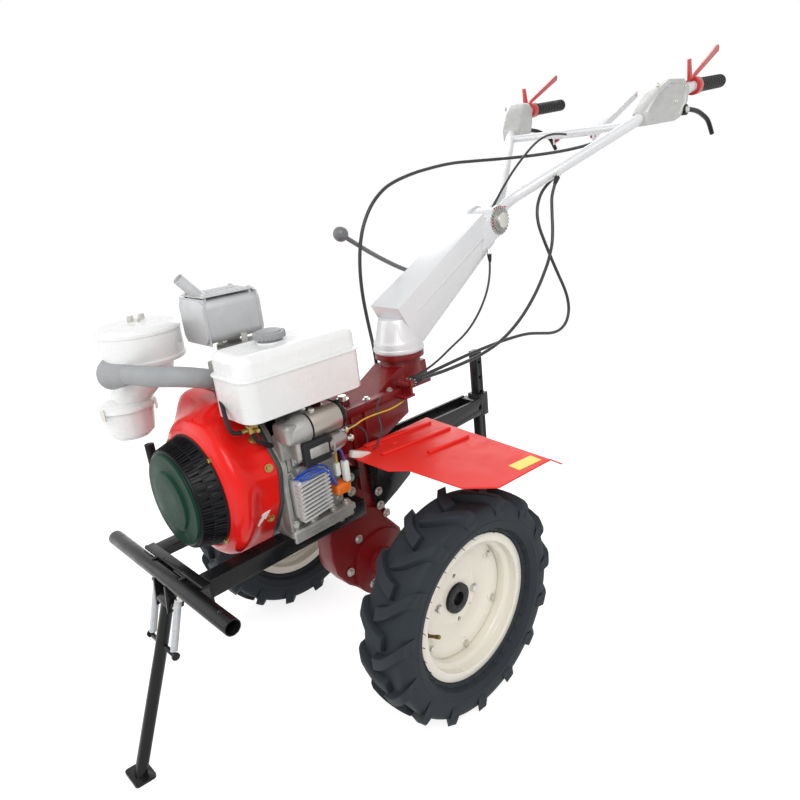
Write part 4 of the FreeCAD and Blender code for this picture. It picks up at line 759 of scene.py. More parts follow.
def makeRecoilDetails():
    crank = fan["crank"]
    x0, x1 = 384.05, 432.0
    # dark ring in the mouth of the housing, and ribs that stand proud between the slots
    mouth = lathe([(100, 0), (118.2, 0), (118.2, 6), (114.6, 9), (100, 9)], 96)
    ring = placed(mouth, foreAndAft(378.0, 0, crank))
    hoops = []
    for x, radius in ((x0 + 2.0, 115.8), (x0 + 24.0, 108.4), (x1 - 2.5, 100.8)):
        hoop = lathe([(radius - 3, -1.6), (radius + 0.6, -1.6), (radius + 1.2, 0), (radius + 0.6, 1.6),
                      (radius - 3, 1.6)], 120)
        hoops.append(placed(hoop, foreAndAft(x, 0, crank)))
    blade = loftRings([[(r0, -0.7, z), (r1, -0.7, z), (r1, 0.7, z), (r0, 0.7, z)] for r0, r1, z in (
        (104, 116.9, 1.0), (98, 110.4, 24.0), (92, 104.0, 45.0))])
    blades = ringOf(blade, fan["fins"], 0.0, (0, 0, 1), "blackPlastic")
    placed(blades, foreAndAft(384.4, 0, crank))
    piece("recoil_hoops", [ring, blades] + hoops, "chassis", "blackPlastic")
    cover = lathe([
        (0, 0), (96.6, 0), (96.8, 1.2), (95.6, 4.2), (93.6, 5.8), (90, 6.0), (66, 6.0), (63.5, 6.8), (62, 9.6),
        (60.4, 11.4), (57, 12.0), (30, 12.0), (0, 12.0)], 128, False)
    placed(cover, foreAndAft(432.05, 0, crank))
    knob = lathe([(0, -16), (15, -16), (15.5, -4), (14, 2.6), (11, 4.6), (0, 4.8)], 40, False)
    placed(knob, foreAndAft(434, 34, 531))
    piece("recoil_cover_dressed", [cover, knob], "chassis", "coverGreen", ("recoil_cover",))
    tab = outlinePlate([(-14, 489), (12, 488), (36, 500), (66, 524), (60, 534), (28, 518), (-10, 506)], "x", 380.5,
                       384.9,
                       0.8)
    piece("recoil_tab", [tab], "chassis", "zincYellow")


def makeFanDetails():
    crank = fan["crank"]
    seats = [((384.0, 120 * math.cos(math.radians(a)), crank + 120 * math.sin(math.radians(a))), (1, 0, 0))
             for a in (46, 134, 226, 314)]
    heads = onSpots(hexHead(8, 5.5, 7.0, 1.4), seats, 1.0, "zincYellow")
    piece("recoil_screws", [heads], "chassis", "zincYellow")
    flangeSeats = [((291, y, z), (0.25, out[0], out[1])) for y, z, out in (
        (126, 648, (1, 0.25)), (86, 698, (0.8, 0.6)), (96, 530, (1, -0.3)), (-150, 700, (-1, 0.2)),
        (-108, 545, (-1, -0.3)))]
    bosses = [turnedAt([(0, -10), (10, -10), (9, 3), (8, 4), (0, 4)], 24, p, o) for p, o in flangeSeats]
    piece("fan_bosses", bosses, "chassis", "shroudRed")
    flangeHeads = onSpots(hexHead(10, 6.5, 8.5, 1.6),
                          [(tuple(Vector(p) + Vector(o).normalized() * 4), o) for p, o in flangeSeats], 1.0,
                          "zincYellow")
    piece("fan_screws", [flangeHeads], "chassis", "zincYellow")
    # a plain arrow of white film on the housing's side shows which way the crank turns
    skin = BVHTree.FromObject(bpy.data.objects["fan_housing"], bpy.context.evaluated_depsgraph_get())
    arrow = [(-20, -7), (0, -7), (0, -14), (20, 0), (0, 14), (0, 7), (-20, 7)]
    middle, along = Vector((315, 103, 548)), Vector((-0.75, -0.1, 0.66))
    spot, way = skin.find_nearest(machine @ middle)[:2]
    along = (machine.to_3x3() @ along).normalized()
    along = (along - along.dot(way) * way).normalized()
    across = way.cross(along)
    outer, inner = [], []
    for a, b in arrow:
        near, out = skin.find_nearest(spot + along * (a / 1000) + across * (b / 1000))[:2]
        outer.append(near + out * 0.0007)
        inner.append(near - out * 0.002)
    finishPiece("turn_arrow", loftRings([inner, outer]), "chassis", "plateWhite")


makeFanHousing()
makeRecoilDetails()
makeFanDetails()
print("stage: fan housing and recoil starter")


def makeCrankcaseDetails():
    parts = [makeFlange()]
    # a stepped boss under the starter, ribs down the wall, and the oil gallery
    parts.append(bevelled(block(196, 244, 100, 116, 610, 664), 7, 3))
    parts.append(bevelled(block(206, 234, 110, 122, 622, 652), 5, 3))
    parts.append(bevelled(block(252, 264, 96, 126, 486, 640), 3, 2))
    parts.append(barBetween((240, 104, 606), (240, 104, 490), 9))
    parts.append(barBetween((150, 104, 506), (250, 104, 506), 8))
    for x in (150, 176, 202, 228):
        parts.append(bevelled(block(x, x + 6, 100, 112, 484, 512), 1.5, 2))
    parts.append(turnedAt([(0, 0), (13, 0), (13, 8), (11.5, 9.5), (0, 9.5)], 32, (197, 103, 494), (0, 1, 0)))
    parts.append(turnedAt([(0, 0), (10, 0), (10, 12), (8.5, 13.5), (0, 13.5)], 28, (252, 112, 500), (0.2, 1, 0)))
    # long foot that seats on the rail, with its raised edge
    parts.append(bevelled(block(96, 262, 104, 130, 470, 487), 5, 3))
    parts.append(bevelled(block(100, 258, 115.2, 126, 456, 478), 4, 3))
    for x in (112, 150, 205, 250):
        parts.append(turnedAt([(0, 0), (11, 0), (10, 7), (0, 7)], 24, (x, 117, 484), (0, 0, 1)))
    piece("crankcase_casting", parts, "chassis", "castAlloyPaintedShade")
    plugs = [placed(hexHead(14, 8, 10, 2), facing((197, 112.4, 494), (0, 1, 0))),
             placed(hexHead(12, 6, 8, 1.5), facing((252, 124.8, 502), (0.2, 1, 0)))]
    spots = [((x, 117, 491), (0, 0, 1)) for x in (112, 150, 205, 250)]
    spots += [((220, 122, 637), (0, 1, 0)), ((226, 104, 560), (0, 1, 0)), ((158, 104, 644), (0, 1, 0)),
              ((120, 104, 500), (0, 1, 0)), ((120, 104, 604), (0, 1, 0))]
    plugs.append(onSpots(hexHead(10, 7, 9, 1.8), spots, 1.0, "zinc"))
    piece("crankcase_bolts", plugs, "chassis", "zinc")


starter = dict(y=143.0, z=707.0, radius=29.0, solenoidY=150.0, solenoidZ=658.0)


def alongX(profile, y, z, count=64):
    # (x, radius) points turned about a fore-and-aft line
    mesh = lathe([(r, x) for x, r in profile], count, False)
    return placed(mesh, foreAndAft(0, y, z))


def makeStarter():
    y, z, r = starter["y"], starter["z"], starter["radius"]
    shell = alongX([(128, 0), (128, r - 3), (130, r), (204, r), (206, r - 1), (206, 0)], y, z)
    piece("starter_shell", [shell], "chassis", "starterSteel", ("starter_motor",))
    nose = [alongX([(206, 0), (206, r + 1), (216, r + 1.5), (222, r + 1), (240, r - 3), (252, r - 8), (258, r - 12),
                    (258, 0)],
                   y, z)]
    nose.append(bevelled(block(204, 240, y - 34, y + 16, z - 62, z - 8), 8, 3))
    nose.append(bevelled(block(206, 262, 104.1, y - 10, z - 60, z - 6), 5, 3))
    nose.append(bevelled(block(228, 262, 112, y + 22, z - 20, z + 22), 9, 3))
    piece("starter_nose", nose, "chassis", "castAlloyPaintedShade")
    caps = [alongX([(112, 0), (112, 20), (115, 24), (122, r - 1.5), (128, r - 0.5), (128.4, 0)], y, z),
            alongX([(203, r - 2), (203, r + 1.4), (207, r + 1.4), (207, r - 2)], y, z)]
    caps.append(bevelled(block(114, 126, y - 6, y + 6, z + 18, z + 31), 2, 2))
    piece("starter_caps", caps, "chassis", "blackPlastic")
    sy, sz = starter["solenoidY"], starter["solenoidZ"]
    dome = [alongX([(112, 0), (114, 8), (120, 14), (130, 19), (142, 22), (158, 22.5), (160, 20), (206, 20),
                    (206, 0)], sy, sz)]
    piece("solenoid_shell", dome, "chassis", "solenoidSteel")
    pad = bevelled(block(166, 232, sy + 3, sy + 21, sz - 26, sz + 27), 6, 3)
    pad2 = bevelled(block(160, 170, sy - 16, sy + 18, sz - 18, sz + 18), 4, 2)
    piece("solenoid_boot", [pad, pad2], "chassis", "softRubber")
    window = bevelled(block(174, 220, sy + 18, sy + 23.5, sz - 9, sz + 13), 4.5, 3)
    piece("solenoid_plate", [window], "chassis", "castAlloyPaintedShade")
    posts = [turnedAt([(0, 0), (4, 0), (4, 14), (3.4, 15), (0, 15)], 16, (116, sy - 8, sz + 8), (-1, 0.1, 0)),
             turnedAt([(0, 0), (4, 0), (4, 14), (3.4, 15), (0, 15)], 16, (116, sy + 8, sz - 6), (-1, 0.1, 0))]
    posts.append(onSpots(hexHead(11, 6, 8, 1.5),
                         [((108, sy - 7, sz + 8), (-1, 0.1, 0)), ((108, sy + 9, sz - 6), (-1, 0.1, 0)),
                                                  ((250, 126, z - 28), (1, 0.3, 0)),
                                                  ((186, y + 3, z + 28.5), (0, 0.1, 1))], 1.0, "zinc"))
    piece("starter_nuts", posts, "chassis", "zinc")


def buildFinTree():
    # flat fins in a row, each the size of the drawn one
    tree, start, end = treeWith("finRow", [
        ("Piece", "NodeSocketObject"), ("Count", "NodeSocketInt"), ("From", "NodeSocketVector"),
        ("Step", "NodeSocketVector"), ("Material", "NodeSocketMaterial")])
    line = put(tree, "GeometryNodeMeshLine", {"mode": "OFFSET"}, {
        "Count": start.outputs["Count"], "Start Location": start.outputs["From"], "Offset": start.outputs["Step"]})
    drawn = put(tree, "GeometryNodeObjectInfo", None, {"Object": start.outputs["Piece"]})
    copies = put(tree, "GeometryNodeInstanceOnPoints", None, {
        "Points": line.outputs["Mesh"], "Instance": drawn.outputs["Geometry"]})
    return endTree(tree, start, end, copies)


finTree = buildFinTree()


def rowOf(mesh, count, first, step, finish):
    return repeated(finTree, mesh, bpy.data.meshes.new("empty"), finish,
                    {"Count": count, "From": first, "Step": step})


def makeRegulator():
    y = 104.05
    parts = [bevelled(block(160, 246, y, y + 6, 508, 634), 2.5, 2),
             bevelled(block(170, 246, y + 6, y + 32, 514, 600), 4, 2)]
    fin = bevelled(block(-38, 38, -2, 18, -1.5, 1.5), 0.9, 2)
    fin.transform(Matrix.Rotation(math.radians(6), 4, "Y"))
    parts.append(rowOf(fin, 10, (208, y + 32, 517), (0, 0, 8.8), "paleAlloy"))
    for x in (176, 240):
        parts.append(bevelled(block(x - 5, x + 5, y + 6, y + 44, 514, 600), 3, 2))
    piece("regulator_fins", parts, "chassis", "paleAlloy", ("regulator",))
    box = bevelled(block(199, 232, y + 4, y + 26, 604, 622), 3, 2)
    piece("relay_box", [box], "chassis", "castAlloyPaintedShade")


def makeWiring():
    plugs = [
        bevelled(block(108, 121, 126, 142, 548, 596), 3, 2), bevelled(block(126, 138, 122, 134, 566, 596), 2.5, 2)]
    long = bevelled(block(-28, 28, -7, 7, -8, 8), 3, 2)
    long.transform(Matrix.Translation((58, 118, 584)) @ Matrix.Rotation(math.radians(-24), 4, "Y"))
    cap = bevelled(block(-34, -26, -5.5, 5.5, -6, 6), 2, 2)
    cap.transform(Matrix.Translation((58, 118, 584)) @ Matrix.Rotation(math.radians(-24), 4, "Y"))
    piece("white_plugs", plugs + [long, cap], "chassis", "whiteNylon", ("wiring_plugs",))
    orange = bevelled(block(106, 144, 106, 138, 522, 546), 5, 3)
    piece("orange_plug", [orange], "chassis", "orangeNylon")
    leads = {  # finish: (radius, routes)
        "blueLead": (2.4, [
            [(240, 126, 598), (232, 148, 610), (206, 156, 618), (180, 150, 606), (164, 142, 586), (150, 130, 560),
             (140, 120, 545)],
            [(238, 122, 596), (226, 144, 616), (200, 152, 624), (172, 146, 612), (158, 138, 592), (146, 126, 566),
             (134, 118, 548)],
            [(236, 130, 594), (222, 154, 604), (196, 160, 612), (172, 152, 600), (158, 144, 576), (142, 134, 552),
             (136, 124, 540)],
            [(116, 134, 596), (118, 138, 612), (124, 140, 624), (130, 132, 634), (132, 118, 640), (128, 106, 642)]]),
        "yellowLead": (1.8, [
            [(112, 150, 664), (100, 146, 668), (70, 130, 660), (30, 108, 656), (-20, 100, 652), (-70, 96, 646),
             (-130, 88, 652), (-150, 74, 664)],
            [(132, 130, 596), (136, 136, 612), (134, 136, 628), (126, 128, 640), (124, 112, 644)]]),
        "redLead": (1.8, [
            [(214, 126, 622), (212, 138, 632), (208, 146, 636), (202, 144, 640), (200, 136, 644)],
            [(86, 118, 570), (104, 130, 586), (116, 138, 606), (120, 134, 628), (122, 118, 640)]]),
        "cableBlack": (2.2, [
            [(20, 120, 584), (0, 124, 600), (-14, 118, 626), (-18, 104, 648), (-30, 86, 664), (-60, 74, 676)],
            [(30, 114, 600), (26, 112, 620), (36, 106, 640), (60, 100, 652), (90, 98, 650), (110, 104, 648)],
            [(108, 142, 664), (96, 138, 690), (90, 110, 712), (92, 70, 720), (98, 20, 716)]]),
    }
    for finish, (radius, routes) in leads.items():
        piece("leads_" + finish, [tubeMesh(route, radius) for route in routes], "chassis", finish)


makeCrankcaseDetails()
makeStarter()
makeRegulator()
makeWiring()
print("stage: engine castings, starter and wiring")


def makeTankExtras():
    neck = placed(lathe([(0, 0), (31, 0), (31, 3), (27, 6), (26, 9), (0, 9)], 48, False),
                  Matrix.Translation((220, 96, 876)))
    piece("filler_neck", [neck], "chassis", "tankGrey")
    rib = block(28.6, 31.4, -2.2, 2.2, 0, 12)
    ribs = ringOf(bevelled(rib, 0.9, 1), 24, 0.0, (0, 0, 1), "ductGrey")
    placed(ribs, Matrix.Translation((220, 96, 890.5)))
    top = placed(lathe([(0, 0), (24, 0), (23, 3), (20, 4), (0, 4)], 48, False), Matrix.Translation((220, 96, 901.8)))
    piece("cap_grip", [ribs, top], "chassis", "ductGrey")
    tap = [barBetween((300, 110, 756), (300, 110, 736), 8), bevelled(block(290, 312, 102, 118, 722, 740), 3, 2),
           barBetween((312, 110, 731), (324, 110, 731), 5), barBetween((300, 118, 731), (300, 132, 731), 4)]
    piece("fuel_tap", tap, "chassis", "zincYellow")
    hoses = [tubeMesh([(324, 110, 731), (338, 110, 732), (346, 108, 744), (340, 90, 770), (318, 40, 796),
                       (290, 8, 806), (262, -4, 800)], 4.2),
             tubeMesh([(300, 110, 722), (298, 112, 706), (286, 116, 694), (268, 110, 686), (256, 100, 672)], 4.2)]
    piece("fuel_hoses", hoses, "chassis", "softRubber")


def makeMufflerDetails():
    y, z = -92.0, 870.0
    # a heat shield with two rows of raised beads stands off the silencer on four legs
    shield = block(152, 272, y - 44, y + 48, z + 96, z + 98.5)
    parts = [bevelled(shield, 0.8, 1)]
    for x in (160, 264):
        for yy in (y - 36, y + 40):
            parts.append(barBetween((x, yy, z + 88), (x, yy, z + 97), 4))
    bead = bevelled(block(-4, 4, -17, 17, -0.5, 1.1), 0.5, 1)
    parts.append(rowOf(bead, 9, (164, y - 20, z + 98.5), (12, 0, 0), "mufflerSteel"))
    parts.append(rowOf(bead, 9, (164, y + 24, z + 98.5), (12, 0, 0), "mufflerSteel"))
    seam = [bevelled(block(x, x + 3, y - 50, y + 54, z - 2, z + 94), 1, 1) for x in (150, 271)]
    parts += seam
    piece("muffler_shield", parts, "chassis", "mufflerSteel")
    spots = [((x, yy, z + 98.5), (0, 0, 1)) for x in (160, 264) for yy in (y - 36, y + 40)]
    piece("muffler_bolts", [onSpots(hexHead(8, 5, 7, 1.4), spots, 1.0, "zinc")], "chassis", "zinc")


def makeCleanerDetails():
    drumX, drumY = 355.0, -182.0
    bowlX, bowlY = 404.0, -214.0
    band = [placed(lathe([(81, 0), (83.4, 0.8), (83.4, 5.2), (81, 6)], 96), Matrix.Translation((drumX, drumY, z)))
            for z in (850, 906)]
    band.append(placed(lathe([(58, 0), (60, 0.8), (60, 5.6), (58, 6.4)], 72),
                       Matrix.Translation((bowlX, bowlY, 749))))
    piece("cleaner_bands", band, "chassis", "tankGrey")
    nut = [placed(lathe([(0, 0), (9, 0), (8, 7), (0, 7)], 24, False), Matrix.Translation((drumX, drumY, 925)))]
    nut += [bevelled(block(drumX + a, drumX + a + 15, drumY - 2, drumY + 2, 928, 941), 1.8, 2) for a in (-19, 4)]
    for t in (20, 140, 260):
        angle = math.radians(t)
        clip = block(-1.6, 1.6, -6, 6, -14, 12)
        clip.transform(Matrix.Translation((bowlX, bowlY, 752)) @ Matrix.Rotation(angle, 4, "Z")
                       @ Matrix.Translation((61, 0, 0)))
        nut.append(bevelled(clip, 0.6, 1))
    piece("cleaner_clips", nut, "chassis", "zinc")


def makeHeadDetails():
    y, top = -42.0, 858.0
    spots = [((x, y + s * 40, top), (0, 0, 1)) for x in (142, 232) for s in (-1, 1)]
    spots += [((x, y + 66, z), (0, 1, 0)) for x in (130, 248) for z in (790, 806)]
    bolts = [onSpots(hexHead(10, 7, 9, 1.6), spots, 1.0, "zinc")]
    pipe = tubeMesh([(250, 26, 690), (262, 34, 720), (268, 36, 756), (262, 30, 790), (246, 14, 824), (222, -8, 846),
                     (206, -24, 862)], 3.4)
    nuts = [barBetween((206, -24, 858), (206, -24, 884), 7, 6), barBetween((250, 26, 680), (250, 26, 694), 7, 6)]
    piece("head_bolts", bolts + [pipe] + nuts, "chassis", "zinc")
    body = [bevelled(block(226, 262, 8, 44, 676, 686), 3, 2),
            placed(lathe([(0, 0), (13, 0), (12, 12), (0, 12)], 32, False),
                                                                Matrix.Translation((206, -24, 848)))]
    piece("injector_body", body, "chassis", "castAlloyPaintedShade")


makeTankExtras()
makeMufflerDetails()
makeCleanerDetails()
makeHeadDetails()
print("stage: tank, muffler, cleaner and head")


def makeGearboxDetails():
    near = 68.0
    outline = [(20, 420), (80, 430), (110, 425), (128, 408), (139, 378), (140, 332), (131, 288), (104, 246),
               (62, 210), (0, 190), (-60, 200), (-84, 240), (-84, 290), (-60, 340), (-26, 372), (-20, 404)]
    centre = Vector((40, 310))
    rim = []
    for grow, y in ((1.0, near - 16), (1.0, near + 1), (0.985, near + 2.6), (0.93, near + 2.6), (0.915, near + 1.0)):
        rim.append([(centre.x + (x - centre.x) * grow, y, centre.y + (z - centre.y) * grow) for x, z in outline])
    face = subdivided(loftRings(rim), 1)
    parts = [face]
    spots = []
    for x, z in ((61, 352), (98, 280), (36, 214), (-64, 236), (-34, 380)):
        parts.append(turnedAt([(0, -8), (9.5, -8), (8.5, 3.4), (7.5, 4.2), (0, 4.2)], 24, (x, near, z), (0, 1, 0)))
        spots.append(((x, near + 4.2, z), (0, 1, 0)))
    # ribs that carry the column seat's load down the case
    for x in (-14, 26, 66):
        parts.append(outlinePlate([(x, 654), (x + 8, 654), (x + 7, 470), (x + 1, 470)], "y", 62, 71, 1.5))
        parts.append(outlinePlate([(x, 654), (x + 8, 654), (x + 7, 470), (x + 1, 470)], "y", -71, -62, 1.5))
    # round flange on the bell, towards the engine
    bell = lathe([(60, 0), (88, 0), (90, 1.5), (90, 10.5), (88, 12), (60, 12)], 96)
    parts.append(placed(bell, foreAndAft(79.5, 0, 603)))
    # filler boss on the top cover
    parts.append(placed(lathe([(0, -4), (17, -4), (15.5, 12), (0, 12)], 36, False),
                        Matrix.Translation((20, 30, 674))))
    piece("gearbox_flange", parts, "chassis", "gearRed")
    bolts = [onSpots(hexHead(13, 8, 11, 2.0), spots, 1.0, "zinc")]
    coverSpots = [((x, y, 675), (0, 0, 1)) for x in (44, -30, -104) for y in (-56, 56)]
    bellSpots = [((79.4, 76 * math.cos(math.radians(a)), 603 + 76 * math.sin(math.radians(a))), (-1, 0, 0))
                 for a in (60, 120, 160, 20)]
    bolts.append(onSpots(hexHead(10, 7, 9, 1.8), coverSpots + bellSpots, 1.0, "zinc"))
    bolts.append(placed(hexHead(19, 10, 15, 2), Matrix.Translation((20, 30, 686))))
    piece("gearbox_bolts", bolts, "chassis", "zinc")
    collars = []
    for side in (-1, 1):
        ring = lathe([(16.5, 0), (30, 0), (31, 1.5), (30, 4), (26, 5.5), (16.5, 5.5)], 48)
        collars.append(placed(ring, facing((0, side * 127.5, 260), (0, side, 0))))
    piece("axle_seals", collars, "chassis", "softRubber")


def subdivided(mesh, levels):
    thing = linked("work", mesh)
    smooth = thing.modifiers.new("smooth", "SUBSURF")
    smooth.levels = smooth.render_levels = levels
    return baked(thing)


def makeFrameDetails():
    spots = [((x, -120, 484.2), (0, 0, 1)) for x in (118, 246)]
    spots.append(((130, 110.2, 455), (0, 1, 0)))
    spots += [((x, 104.4, z), (0, 1, 0)) for x, z in ((86, 500), (84, 534))]
    spots += [((x, s * 78.1, z), (0, s, 0)) for s in (1, -1) for x, z in ((-12, 450), (-13, 412))]
    bolts = [onSpots(hexHead(13, 8, 11, 2.0), spots, 1.0, "zinc")]
    piece("frame_bolts", bolts, "chassis", "zinc")
    # weld beads where the tube sits in the cross plate and the bracket hangs from it
    beads = []
    for s in (-1, 1):
        beads.append(tubeMesh([(467, s * 40, 470.5), (467.4, s * 70, 471.2), (466.8, s * 96, 470.2),
                               (467.2, s * 122, 470.8)], 2.6))
        beads.append(tubeMesh([(471, s * 27.6, 443), (478, s * 28.0, 437.6), (488, s * 27.8, 437.6),
                               (496, s * 27.6, 443)], 2.2))
    piece("weld_beads", beads, "chassis", "frameBlack")
    # pressed plug near the end of the bumper tube's top
    piece("bumper_screw", [placed(domeHead(5, 3), facing((483, 214, 469.6), (0.1, 0, 1)))], "chassis", "frameBlack")


def coilPoints(a, b, radius, wire, turns):
    # a close-wound tension spring
    a, b = Vector(a), Vector(b)
    axis = (b - a).normalized()
    side = axis.orthogonal().normalized()
    other = axis.cross(side)
    length = (b - a).length
    steps = int(turns * 12)
    points = []
    for i in range(steps + 1):
        t = i / steps
        angle = 2 * math.pi * turns * t
        along = wire * 0.6 + t * (length - 1.2 * wire)
        points.append(a + axis * along + (side * math.cos(angle) + other * math.sin(angle)) * (radius - wire))
    return points


spring = dict(hook=(487, 47, 431), lug=(523, 47, 316), radius=7.4, wire=1.1, turns=42)


def makeSprings():
    for name, side in (("left", 1), ("right", -1)):
        mirror = Matrix.Scale(side, 4, (0, 1, 0))
        hook, lug = mirror @ Vector(spring["hook"]), mirror @ Vector(spring["lug"])
        way = (lug - hook).normalized()
        points = coilPoints(hook + way * 6, lug - way * 7, spring["radius"], spring["wire"], spring["turns"])
        piece("spring_coil_" + name, [tubeMesh(points, 1.15, False, 1)], "stand", "springWhite",
                      ("stand_spring_" + name,))


def makeStandDetails():
    pins = []
    for s in (-1, 1):
        pins.append(turnedAt([(0, 0), (8, 0), (8, 4), (6.5, 5), (0, 5)], 24, (523, s * 54, 316), (0, s, 0)))
    piece("stand_pins", pins, "stand", "frameBlack")
    heads = [placed(hexHead(15, 7), facing((492, s * 35.6, 406), (0, s, 0))) for s in (-1, 1)]
    hooks = [turnedAt([(0, 0), (7.5, 0), (7.5, 3.5), (0, 3.5)], 20, (487, s * 54.6, 431), (0, s, 0)) for s in (-1, 1)]
    piece("pivot_nuts", heads + hooks, "chassis", "zinc")


makeGearboxDetails()
makeFrameDetails()
makeSprings()
makeStandDetails()
print("stage: gearbox, frame and stand")


def carved(mesh, cutter):
    # takes the cutter's solids out of the mesh
    thing, tool = linked("work", mesh), linked("tool", cutter)
    cut = thing.modifiers.new("cut", "BOOLEAN")
    cut.object, cut.operation, cut.solver = tool, "DIFFERENCE", "EXACT"
    made = evaluated(thing)
    for each in (thing, tool):
        bpy.data.objects.remove(each)
    return made


wheelDisc = dict(face=-18.0, hubCircle=57.5, boltCircle=121.5, bolts=6, firstBolt=-8, stemCircle=117, stemTurn=70.5)


def makeRim(side):
    # pressed well and bolted disc, with the roll of the flange and the dish of the disc
    face, hubCircle = wheelDisc["face"], wheelDisc["hubCircle"]
    boltTurns = [wheelDisc["firstBolt"] + 360 // wheelDisc["bolts"] * i for i in range(wheelDisc["bolts"])]
    hoop = [
        (-38, 167.2), (-38, 149), (-36.6, 148.4), (-22, 148.4), (-18, 146.6), (-14, 137), (-11, 135), (11, 135),
        (14, 137), (18, 146.6), (22, 148.4), (36.6, 148.4), (37.4, 149.4), (38, 152), (38, 166), (37.2, 167.4),
        (35.4, 167.2), (34.6, 165.6), (34.5, 152.8), (33.6, 152.2), (22.6, 152.2), (19, 150), (15.4, 140.4),
        (12, 138.9), (-12, 138.9), (-15.4, 140.4), (-19, 150), (-22.6, 152.2), (-33.6, 152.2), (-34.5, 152.8),
        (-34.5, 166), (-36.4, 167.4)]
    disc = [
        (face, 35.2), (face, 50), (face + 1.2, 56), (face + 1.2, 62), (face, 67), (face, 96), (face + 1.5, 101),
        (face + 8.4, 113), (face + 10, 117), (face + 10, 134), (face + 6.5, 134.6), (face + 6, 119), (face + 2, 110),
        (face - 3.4, 100), (face - 4, 96), (face - 4, 35.2)]
    meshes = []
    for profile in (hoop, disc):
        mesh = lathe([(r, y) for y, r in profile], 144)
        mesh.transform(Matrix.Rotation(math.radians(-90), 4, "X"))
        if profile is disc:
            holes = [turnedAt([(0, -14), (r, -14), (r, 14), (0, 14)], 20, wheelSpot(58, face - 2, a),
                              (0, 1, 0)) for a, r in ((-8, 5.5), (172, 5.5), (-52, 2.6))]
            mesh = carved(mesh, joined(holes))
        meshes.append(mesh)
    lugs = []
    for turn in boltTurns:
        spot = wheelSpot(wheelDisc["boltCircle"], face + 9, turn)
        lugs.append(turnedAt([(0, -3), (13, -3), (12.2, 1.8), (11, 2.6), (0, 2.6)], 28, spot, (0, 1, 0)))
    mesh = placed(joined(meshes + lugs), wheels[side])
    finishPiece("rim_" + side + "_dressed", mesh, "wheel_" + side, "rimCream",
                ("rim_" + side,), 34)
    spots = [(wheelSpot(wheelDisc["boltCircle"], face + 11.6, turn), (0, 1, 0)) for turn in boltTurns]
    heads = [onSpots(hexHead(12, 5.5, 9, 1.4), spots, 1.0, "zinc")]
    hubSpots = [(wheelSpot(hubCircle, face, a), (0, 1, 0)) for a in (-90, 90)]
    heads.append(onSpots(hexHead(16, 8, 12, 1.8), hubSpots, 1.0, "zinc"))
    finishPiece("wheel_bolts_" + side, placed(joined(heads), wheels[side]), "wheel_" + side, "zinc")
    stem = []
    root = wheelSpot(wheelDisc["stemCircle"], face + 2, wheelDisc["stemTurn"])
    stemWay = Vector((-0.2, 1, 0.25))
    stem.append(turnedAt([(0, -6), (8.5, -6), (8.5, 2), (6, 6), (5, 14), (0, 14)], 24, root, stemWay))
    finishPiece("valve_base_" + side, placed(joined(stem), wheels[side]), "wheel_" + side, "softRubber")
    tip = turnedAt([(0, 0), (3.8, 0), (3.8, 20), (4.6, 20.5), (4.6, 30), (4, 31), (0, 31)], 20,
                   root + stemWay.normalized() * 13, stemWay)
    finishPiece("valve_stem_" + side, placed(joined([tip]), wheels[side]), "wheel_" + side, "brass")


def makeHub(side):
    # the hub's plain bolt heads shrink under the plated heads that cover them
    mesh = nodeCopy("hub_" + side)
    toWheel = wheels[side].inverted()
    mesh.transform(toWheel)
    for vertex in mesh.vertices:
        x, y, z = vertex.co
        if y > -17.5 and math.hypot(x, z) > 40:
            middle = Vector((math.copysign(57.5, x), y, 0))
            vertex.co = middle + (vertex.co - middle) * 0.5
            vertex.co.y = -14.0
    mesh = bevelled(placed(mesh, wheels[side]), 0.001)
    finishPiece("hub_" + side + "_dressed", mesh, "wheel_" + side, "frameBlack",
                ("hub_" + side,))


for side in ("left", "right"):
    makeHub(side)
    makeRim(side)
print("stage: rims")


fender = dict(z=577.0, sheet=2.0, lipDrop=26.0, ribHigh=6.2,
              outline=[(72, 80), (72, 226), (46, 262), (44, 408), (2, 466), (-156, 480), (-196, 80)])


